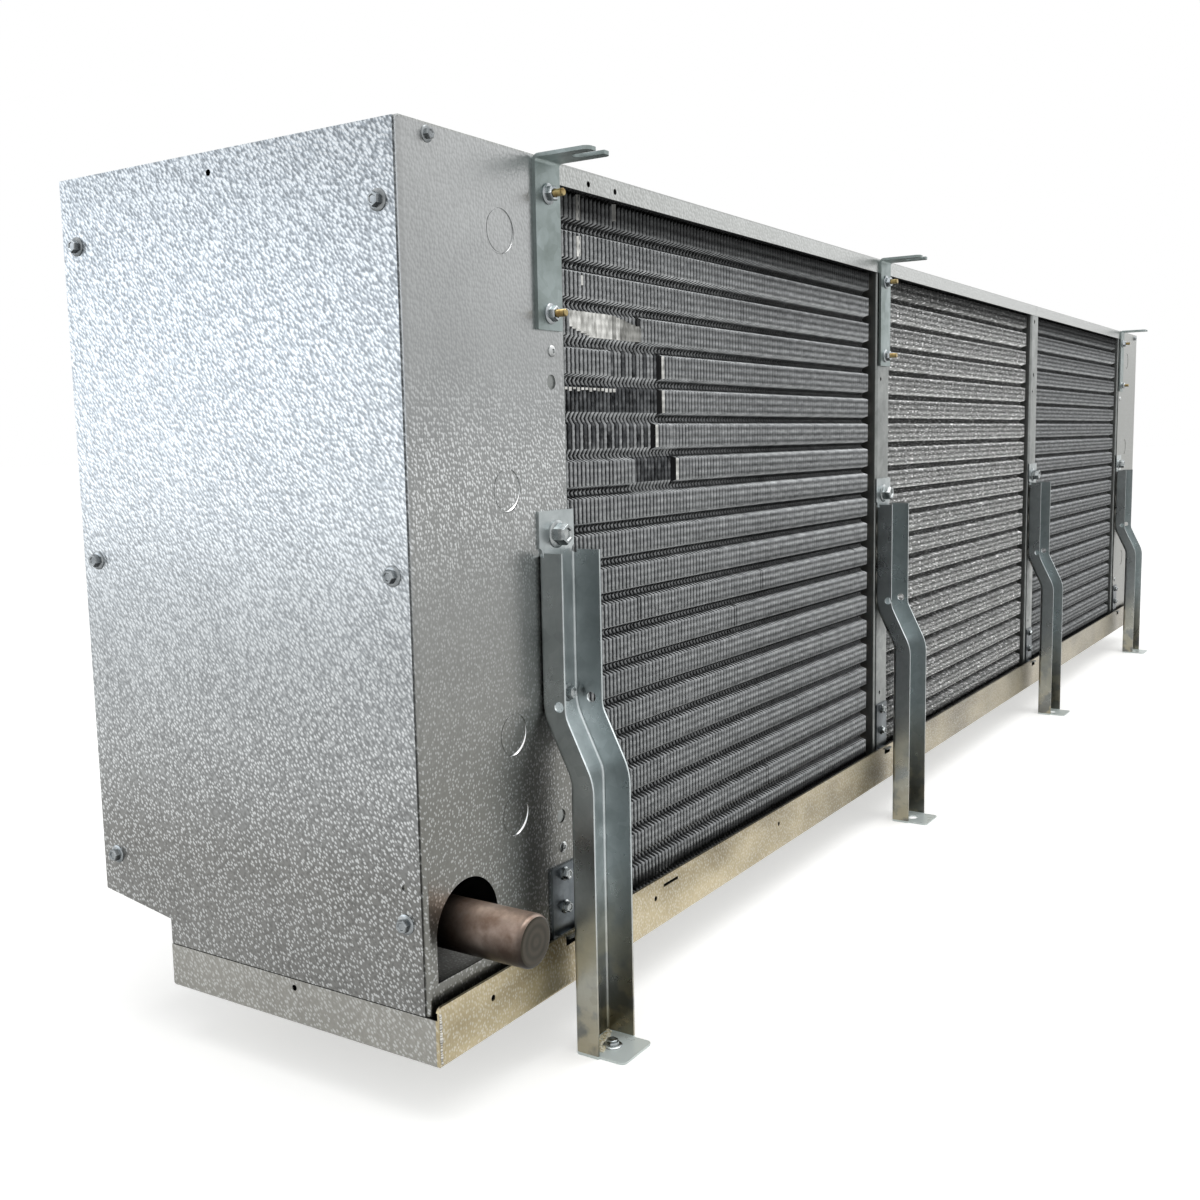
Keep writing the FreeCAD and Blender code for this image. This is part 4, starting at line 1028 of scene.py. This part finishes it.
class COOLER_OT_steel(bpy.types.Operator):
    """Finishes the posts, legs, hangers and pan brackets."""

    bl_idname = "cooler.steel"
    bl_label = "Smooth steel"

    def execute(self, context):
        posts = galvanised_steel("Galvanised_post_steel", 0x949795, 0x757877)
        legs = galvanised_steel("Galvanised_leg_steel", 0xB5BBBC, 0x939A9B, 0.3, dusty_foot=True)
        # A lighter copy of the leg steel for the end legs: painted light.
        end_legs = galvanised_steel("Galvanised_end_leg_steel", 0xC8CECE, 0xA4ABAC, 0.3,
                                    dusty_foot=True)
        hangers = galvanised_steel("Zinc_plated_hanger_steel", 0x96A0A0, 0x78827F, 0.42)
        # The brackets are painted dark: a painted reflection of their dark surroundings.
        brackets = galvanised_steel("Bracket_steel_painted_dark", 0x767C80, 0x50565A)
        dress(posts, *numbered("tube_sheet"))
        for side in ("", "front_"):
            dress(legs, *numbered(side + "leg", POST_NUMBERS[:-1]))
            dress(end_legs, side + "leg_4")
            dress(hangers, *numbered(side + "hanger", HANGER_NUMBERS))
        dress(brackets, "pan_brackets")
        return {"FINISHED"}


class COOLER_OT_pipework(bpy.types.Operator):
    """Finishes the copper header and the brass drain spout with its thread."""

    bl_idname = "cooler.pipework"
    bl_label = "Pipework"

    def execute(self, context):
        stub_copper = aged_copper("Browned_copper_stub", cap=STUB_PLACE)
        dress(stub_copper, "suction_header")
        brass = machined_brass("Turned_brass_spout")
        dress(brass, "drain_spout")
        low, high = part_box("drain_spout")
        middle = (low + high) / 2
        kit = MeshKit()
        pitch = 2.2 * MM
        radius = 16.7 * MM
        for turn in range(11):
            seat = Vector((middle.x, middle.y, low.z + 1.5 * MM + turn * pitch))
            kit.lathe([(radius - 0.2 * MM, 0.0), (radius + 0.7 * MM, 0.5 * pitch),
                       (radius - 0.2 * MM, pitch * 0.98)], 40, seat, (0, 0, 1))
        kit.finish("spout_thread", brass, 20.0)
        return {"FINISHED"}


class COOLER_OT_fans(bpy.types.Operator):
    """Finishes the fans and adds their screws."""

    bl_idname = "cooler.fans"
    bl_label = "Fans"

    def execute(self, context):
        looks = {
            "fan_blade": galvanised_steel("Pressed_aluminium_blades", 0xC4C7C9, 0xA4A7A9, 0.32),
            "fan_motor": motor_enamel("Dark_motor_enamel"),
            "fan_guard": plated_steel("Coated_guard_wire", 0xC9CCCD, 0xA9ACAD, 0.38),
        }
        for stem, look in looks.items():
            dress(look, *numbered(stem, BAY_NUMBERS))
        zinc = plated_steel("Bright_zinc_fan_screws", 0xB4B8BA, 0x8A8E91, 0.24)
        kit = MeshKit()
        guard_screws = 8
        edge = 10.0 * MM
        for number in BAY_NUMBERS:
            low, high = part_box("fan_guard_%d" % number)
            centre = (low + high) / 2
            ring = (high.x - low.x) / 2 + 6.0 * MM
            for step in range(guard_screws):
                angle = 2 * pi * (step + 0.5) / guard_screws
                place = (centre.x + ring * cos(angle), FAN_FACE, centre.z + ring * sin(angle))
                washer_screw(kit, place, (0, 1, 0), 0.9, 0.3 * step)
            low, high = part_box("fan_panel_%d" % number)
            for share in (0.1, 0.37, 0.63, 0.9):
                x = low.x + share * (high.x - low.x)
                for z in (low.z + edge, high.z - edge):
                    washer_screw(kit, (x, FAN_FACE, z), (0, 1, 0), 1.0, share * 9)
        kit.finish("fan_side_screws", zinc)
        return {"FINISHED"}


# Fasteners and small trim: insets from an end or the coil's face, and rises above the pan's floor

COVER_SCREW_INSETS = (20.0 * MM, 356.0 * MM)
COVER_SCREW_RISES = (107.0 * MM, 368.0 * MM, 631.0 * MM)
PANEL_SCREW_INSET = 31.0 * MM
COIL_PANEL_SCREW_RISE = 678.0 * MM
FAN_PANEL_SCREW_RISES = (120.0 * MM, 400.0 * MM, 660.0 * MM)
RIVET_RISES = (119.5 * MM, 534.8 * MM)
KNOCKOUT_INSET = 112.5 * MM
KNOCKOUT_LIP_RADIUS = 17.6 * MM
# Each lip's rise, and its widest part in millimetres
KNOCKOUT_LIPS = ((165.0 * MM, 2.3), (230.5 * MM, 2.3), (425.0 * MM, 2.3), (622.0 * MM, 0.8))
HANGER_PLATE = 3.0 * MM
STUD_DROPS = (28.5 * MM, 122.0 * MM)
HANGER_NUT = 11.1 * MM
STUD_THREAD = 1.27 * MM
LEG_SHEET = 2.0 * MM
LEG_BOLT_RISE = 386.5 * MM
LEG_BOLT = 15.9 * MM
# In millimetres, because they also set how far each bolt is turned
BRACKET_BOLT_RISES = (68.0, 97.0)
BRACKET_BOLT = 8.0 * MM
LEG_SCREW_SHIFT = 11.5 * MM
LEG_SCREW_RISE = 252.0 * MM
ANCHOR_REACH = 26.0 * MM
ANCHOR_NUT = 9.0 * MM
CRUMBS = 150


class COOLER_OT_cover_screws(bpy.types.Operator):
    """Sets the hex washer screws of the end covers and compartment panels."""

    bl_idname = "cooler.cover_screws"
    bl_label = "Cover screws"

    def execute(self, context):
        kit = MeshKit()
        turns = iter([0.2, 0.9, 0.5, 0.1, 0.7, 0.4] * 4)
        for end, axis in ((LEFT_END, (-1, 0, 0)), (RIGHT_END, (1, 0, 0))):
            for inset in COVER_SCREW_INSETS:
                for rise in COVER_SCREW_RISES:
                    place = (end, COIL_FACE + inset, PAN_FLOOR + rise)
                    washer_screw(kit, place, axis, 1.2, next(turns))
        for x in (LEFT_END + PANEL_SCREW_INSET, RIGHT_END - PANEL_SCREW_INSET):
            place = (x, COIL_FACE, PAN_FLOOR + COIL_PANEL_SCREW_RISE)
            washer_screw(kit, place, (0, -1, 0), 0.9, next(turns))
            for rise in FAN_PANEL_SCREW_RISES:
                washer_screw(kit, (x, FAN_FACE, PAN_FLOOR + rise), (0, 1, 0), 0.9, next(turns))
        zinc = plated_steel("Bright_zinc_cover_screws", 0xA4A8AA, 0x74797C, 0.22)
        kit.finish("cover_screws", zinc)
        return {"FINISHED"}


class COOLER_OT_rivets(bpy.types.Operator):
    """Sets the blind rivets that hold the compartment panels to the posts."""

    bl_idname = "cooler.rivets"
    bl_label = "Rivets"

    def execute(self, context):
        kit = MeshKit()
        for x in (POSTS[0] + 1.5 * MM, POSTS[3] - 1.5 * MM):
            for rise in RIVET_RISES:
                kit.lathe([(4.9 * MM, -0.2 * MM), (4.7 * MM, 0.7 * MM), (3.4 * MM, 1.7 * MM),
                           (1.9 * MM, 1.9 * MM), (1.6 * MM, 0.9 * MM)], 24,
                          (x, COIL_FACE, PAN_FLOOR + rise), (0, -1, 0))
        grey = plated_steel("Aluminium_blind_rivets", 0xDCDEDE, 0xB0B3B3, 0.3)
        kit.finish("panel_rivets", grey)
        return {"FINISHED"}


class COOLER_OT_knockout_lips(bpy.types.Operator):
    """Raises the lower lips of the knockouts in the left compartment's panel, near white as a
    painted highlight.
    """

    bl_idname = "cooler.knockout_lips"
    bl_label = "Knockout lips"

    def execute(self, context):
        kit = MeshKit()
        radius = KNOCKOUT_LIP_RADIUS
        steps = 24
        for rise, widest in KNOCKOUT_LIPS:
            centre = Vector((LEFT_END + KNOCKOUT_INSET, COIL_FACE, PAN_FLOOR + rise))
            first = len(kit.points)
            for step in range(steps + 1):
                angle = radians(-125.0 + 140.0 * step / steps)
                swell = 0.06 + 0.94 * sin(pi * step / steps) ** 1.5
                width = widest * MM * swell
                out = Vector((cos(angle), 0.0, sin(angle)))
                kit.points.append(centre + out * radius + Vector((0, 0.2 * MM, 0)))
                kit.points.append(centre + out * (radius - width) + Vector((0, 0.2 * MM, 0)))
                crest = centre + out * (radius - 0.55 * width)
                kit.points.append(crest - Vector((0, 0.8 * MM * swell, 0)))
            for step in range(steps):
                low = first + 3 * step
                for corner in range(3):
                    beside = (corner + 1) % 3
                    kit.faces.append((low + corner, low + beside, low + 3 + beside,
                                      low + 3 + corner))
            kit.faces.append((first + 2, first + 1, first))
            last = first + 3 * steps
            kit.faces.append((last, last + 1, last + 2))
        # The lip is raised; its near-white colour on the lower arc only is a painted highlight.
        lips = plated_steel("Knockout_lips_painted_highlight", 0xF4F6F6, 0xD8DCDC, 0.25)
        kit.finish("knockout_lips", lips)
        return {"FINISHED"}


class COOLER_OT_foot_crumbs(bpy.types.Operator):
    """Scatters the dried mortar crumbs that stick in the fold of the first foot."""

    bl_idname = "cooler.foot_crumbs"
    bl_label = "Foot crumbs"

    def execute(self, context):
        chance = random.Random(12)
        kit = MeshKit()
        top = FLOOR + 2.0 * MM
        low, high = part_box("leg_1")
        fold = low.y + 45.0 * MM
        for _crumb in range(CRUMBS):
            size = chance.uniform(0.7, 1.6) * MM
            along = chance.random() ** 1.3
            place = (low.x + 10.0 * MM + 36.0 * MM * along,
                     fold - 1.0 * MM - chance.random() * (19.0 - 15.0 * along) * MM,
                     top + 0.3 * size)
            lean = (chance.uniform(-0.5, 0.5), chance.uniform(-0.5, 0.5), 1.0)
            kit.lathe([(size * 0.6, -size * 0.5), (size, 0.0), (size * 0.7, size * 0.6),
                       (size * 0.2, size * 0.8)], 6, place, lean, chance.uniform(0.0, 3.0))
        mortar = dried_mortar("Dried_mortar_crumbs")
        kit.finish("foot_crumbs", mortar)
        return {"FINISHED"}


class COOLER_OT_studs(bpy.types.Operator):
    """Puts the yellow-plated studs and flange nuts through the hangers."""

    bl_idname = "cooler.studs"
    bl_label = "Hanger studs"

    def execute(self, context):
        sizes = context.scene.cooler_sizes
        nuts = MeshKit()
        studs = MeshKit()
        turns = iter([0.1, 0.6, 0.3, 0.8, 0.2, 0.5] * 2)
        for x in HANGERS:
            for face, out in ((COIL_FACE, -1), (FAN_FACE, 1)):
                for drop in STUD_DROPS:
                    seat = (x, face + out * HANGER_PLATE, CABINET_TOP - drop)
                    flange_nut(nuts, seat, (0, out, 0), HANGER_NUT, next(turns))
                    stud(studs, seat, (0, out, 0), sizes.stud_diameter / 2, sizes.stud_reach,
                         STUD_THREAD)
        zinc = plated_steel("Bright_zinc_flange_nuts", 0xC4C8CA, 0x8A9195, 0.2)
        yellow = plated_steel("Yellow_passivated_studs", 0xBDAE7E, 0x866D43, 0.3)
        nuts.finish("hanger_nuts", zinc)
        studs.finish("hanger_studs", yellow, 20.0)
        return {"FINISHED"}


class COOLER_OT_bolts(bpy.types.Operator):
    """Sets the flange bolts of the legs and pan brackets, the screw in the first leg, and the
    washer and nut on its foot."""

    bl_idname = "cooler.bolts"
    bl_label = "Leg and bracket bolts"

    def execute(self, context):
        kit = MeshKit()
        turn = 0.15
        for number, x in zip(POST_NUMBERS, POSTS):
            turn += 0.37
            coil_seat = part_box("leg_%d" % number)[1].y - LEG_SHEET
            fan_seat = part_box("front_leg_%d" % number)[0].y + LEG_SHEET
            for seat, out in ((coil_seat, -1), (fan_seat, 1)):
                flange_nut(kit, (x, seat, PAN_FLOOR + LEG_BOLT_RISE), (0, out, 0), LEG_BOLT, turn,
                           flange=1.46, height=0.62)
            for rise in BRACKET_BOLT_RISES:
                flange_nut(kit, (x, coil_seat, PAN_FLOOR + rise * MM), (0, -1, 0), BRACKET_BOLT,
                           turn + rise)
        foot_low, foot_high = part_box("leg_1")
        screw = (POSTS[0] + LEG_SCREW_SHIFT, foot_high.y - LEG_SHEET, PAN_FLOOR + LEG_SCREW_RISE)
        washer_screw(kit, screw, (0, -1, 0), 1.2, 0.3)
        washer = 1.9 * MM
        anchor = (POSTS[0], foot_low.y + ANCHOR_REACH, foot_low.z + LEG_SHEET)
        kit.lathe([(8.6 * MM, -0.1 * MM), (8.6 * MM, 0.7 * MM), (6.8 * MM, washer),
                   (4.0 * MM, 2.0 * MM)], 32, anchor, (0, 0, 1))
        flange_nut(kit, (anchor[0], anchor[1], anchor[2] + washer), (0, 0, 1), ANCHOR_NUT, 0.4,
                   flange=1.3, height=0.25)
        zinc = plated_steel("Bright_zinc_flange_bolts", 0xB4B8B8, 0x848A8C, 0.24)
        kit.finish("leg_and_bracket_bolts", zinc)
        return {"FINISHED"}


class COOLER_OT_pan_seam(bpy.types.Operator):
    """Runs the sealant along the drain pan's corners."""

    bl_idname = "cooler.pan_seam"
    bl_label = "Pan seams"

    def execute(self, context):
        chance = random.Random(8)
        low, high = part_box("drain_pan")
        kit = MeshKit()
        for x, inward in ((low.x, 1), (high.x, -1)):
            rise = low.z + 5.0 * MM
            while rise < low.z + 42.0 * MM:
                size = chance.uniform(1.2, 1.9) * MM
                centre = (x + inward * (2.0 + chance.uniform(0.0, 0.5)) * MM,
                          low.y + chance.uniform(0.2, 0.6) * MM, rise)
                kit.lathe([(size * 0.4, -size), (size * 0.9, -size * 0.5), (size, 0.0),
                           (size * 0.9, size * 0.5), (size * 0.4, size)], 10, centre,
                          (0.2, 0.1, 1))
                rise += chance.uniform(1.5, 2.5) * MM
        bead = plated_steel("Zinc_rich_seam_sealant", 0xD9D7D0, 0xA09E98, 0.4)
        kit.finish("pan_corner_seams", bead, 60.0)
        return {"FINISHED"}


# Stage

CAMERA_PLACE = (-2004.7 * MM, -791.0 * MM, 510.0 * MM)
CAMERA_AZIMUTH = -57.12
CAMERA_DIP = 7.08
CAMERA_ROLL = -1.1
CAMERA_FOCAL_PIXELS = 1282.6
PICTURE_SIDE_PIXELS = 1200.0
SENSOR_WIDTH = 36.0
NEAREST_SEEN = 0.05
FARTHEST_SEEN = 200.0
FLOOR_REACH = 40.0
LAMPS = (
    # name, place, target, size, power in watts, colour
    ("left_window", (-3.5, 2.5, 0.85), (-1.3, 0.0, 0.4), (2.4, 1.2), 13.0, 0xF0F7FF),
    ("right_window", (3.6, -2.1, 1.7), (-1.0, -0.1, 0.4), (2.4, 1.8), 7.0, 0xFFFFFF),
    ("ceiling_bank", (-0.6, -0.8, 3.2), (0.0, 0.0, 0.3), (4.5, 1.6), 46.0, 0xFFFFFF),
)


def soft_sky(colours):
    """White to the camera, and to everything else an even light that darkens below the horizon."""
    world = bpy.data.worlds.new("Soft_studio_light")
    bpy.context.scene.world = world
    world.use_nodes = True
    tree = world.node_tree
    tree.nodes.clear()
    direction = add(tree, "ShaderNodeTexCoord", out="Generated")
    height = add(tree, "ShaderNodeSeparateXYZ", {0: direction}, out="Z")
    share = add(tree, "ShaderNodeMapRange", span(height, -0.35, 0.45), **SMOOTH)
    light = add(tree, "ShaderNodeMix", {"Factor": share, "A": tuple(colours.sky_low),
                                        "B": tuple(colours.sky_high)}, **COLOUR_MIX)
    soft = add(tree, "ShaderNodeBackground", {"Color": light, "Strength": 0.62})
    white = add(tree, "ShaderNodeBackground", {"Color": linear(0xFFFFFF), "Strength": 1.0})
    mixed = add(tree, "ShaderNodeMixShader", {0: background_rays(tree), 1: soft, 2: white})
    add(tree, "ShaderNodeOutputWorld", {0: mixed})


def area_lamp(name, place, target, size, power, hex_colour):
    """A large soft lamp aimed at a point."""
    data = bpy.data.lights.new(name, "AREA")
    data.shape = "RECTANGLE"
    data.size, data.size_y = size
    data.energy = power
    data.color = linear(hex_colour)[:3]
    lamp = new_object(name, data)
    lamp.location = place
    lamp.rotation_euler = (Vector(target) - Vector(place)).to_track_quat("-Z", "Y").to_euler()


def photo_camera():
    """The camera where the photograph was taken from."""
    data = bpy.data.cameras.new("Camera")
    data.sensor_width = SENSOR_WIDTH
    data.lens = SENSOR_WIDTH * CAMERA_FOCAL_PIXELS / PICTURE_SIDE_PIXELS
    data.clip_start = NEAREST_SEEN
    data.clip_end = FARTHEST_SEEN
    camera = new_object("Camera", data)
    heading = Matrix.Rotation(radians(CAMERA_AZIMUTH), 4, "Z")
    tilt = Matrix.Rotation(radians(90 - CAMERA_DIP), 4, "X")
    roll = Matrix.Rotation(radians(CAMERA_ROLL), 4, "Z")
    camera.matrix_world = Matrix.Translation(CAMERA_PLACE) @ (heading @ tilt) @ roll
    bpy.context.scene.camera = camera


class COOLER_OT_stage(bpy.types.Operator):
    """Sets the white floor, the soft lamps and the camera."""

    bl_idname = "cooler.stage"
    bl_label = "Studio stage"

    def execute(self, context):
        colours = context.scene.cooler_colours
        mesh = bpy.data.meshes.new("studio_floor")
        far = FLOOR_REACH
        mesh.from_pydata([(-far, -far, 0), (far, -far, 0), (far, far, 0), (-far, far, 0)], [],
                         [(0, 1, 2, 3)])
        mesh.materials.append(pale_floor("White_studio_floor"))
        floor = new_object("studio_floor", mesh)
        soft_sky(colours)
        for lamp in LAMPS:
            area_lamp(*lamp)
        photo_camera()
        context.scene.view_settings.view_transform = "Standard"
        return {"FINISHED"}


class COOLER_PT_panel(bpy.types.Panel):
    """Lists the steps that dress the cooler."""

    bl_idname = "COOLER_PT_panel"
    bl_label = "Unit cooler"
    bl_space_type = "VIEW_3D"
    bl_region_type = "UI"
    bl_category = "Cooler"

    def draw(self, context):
        for step in STEPS:
            self.layout.operator(step.bl_idname)
        for group in (context.scene.cooler_sizes, context.scene.cooler_colours):
            for key in group.__annotations__:
                self.layout.prop(group, key)


STEPS = (
    COOLER_OT_sheet,
    COOLER_OT_steel,
    COOLER_OT_pipework,
    COOLER_OT_fins,
    COOLER_OT_bent_fins,
    COOLER_OT_tubes,
    COOLER_OT_fans,
    COOLER_OT_cover_screws,
    COOLER_OT_rivets,
    COOLER_OT_knockout_lips,
    COOLER_OT_foot_crumbs,
    COOLER_OT_studs,
    COOLER_OT_bolts,
    COOLER_OT_pan_seam,
    COOLER_OT_stage,
)
CLASSES = (CoolerSizes, CoolerColours, *STEPS, COOLER_PT_panel)


def register():
    """Registers the classes and their settings."""
    for kind in CLASSES:
        bpy.utils.register_class(kind)
    bpy.types.Scene.cooler_sizes = bpy.props.PointerProperty(type=CoolerSizes)
    bpy.types.Scene.cooler_colours = bpy.props.PointerProperty(type=CoolerColours)


def unregister():
    """Removes the classes and their settings."""
    del bpy.types.Scene.cooler_colours
    del bpy.types.Scene.cooler_sizes
    for kind in reversed(CLASSES):
        bpy.utils.unregister_class(kind)


def main():
    """Runs every step in order."""
    register()
    for step in STEPS:
        area, name = step.bl_idname.split(".")
        getattr(getattr(bpy.ops, area), name)()


if __name__ == "__main__":
    main()
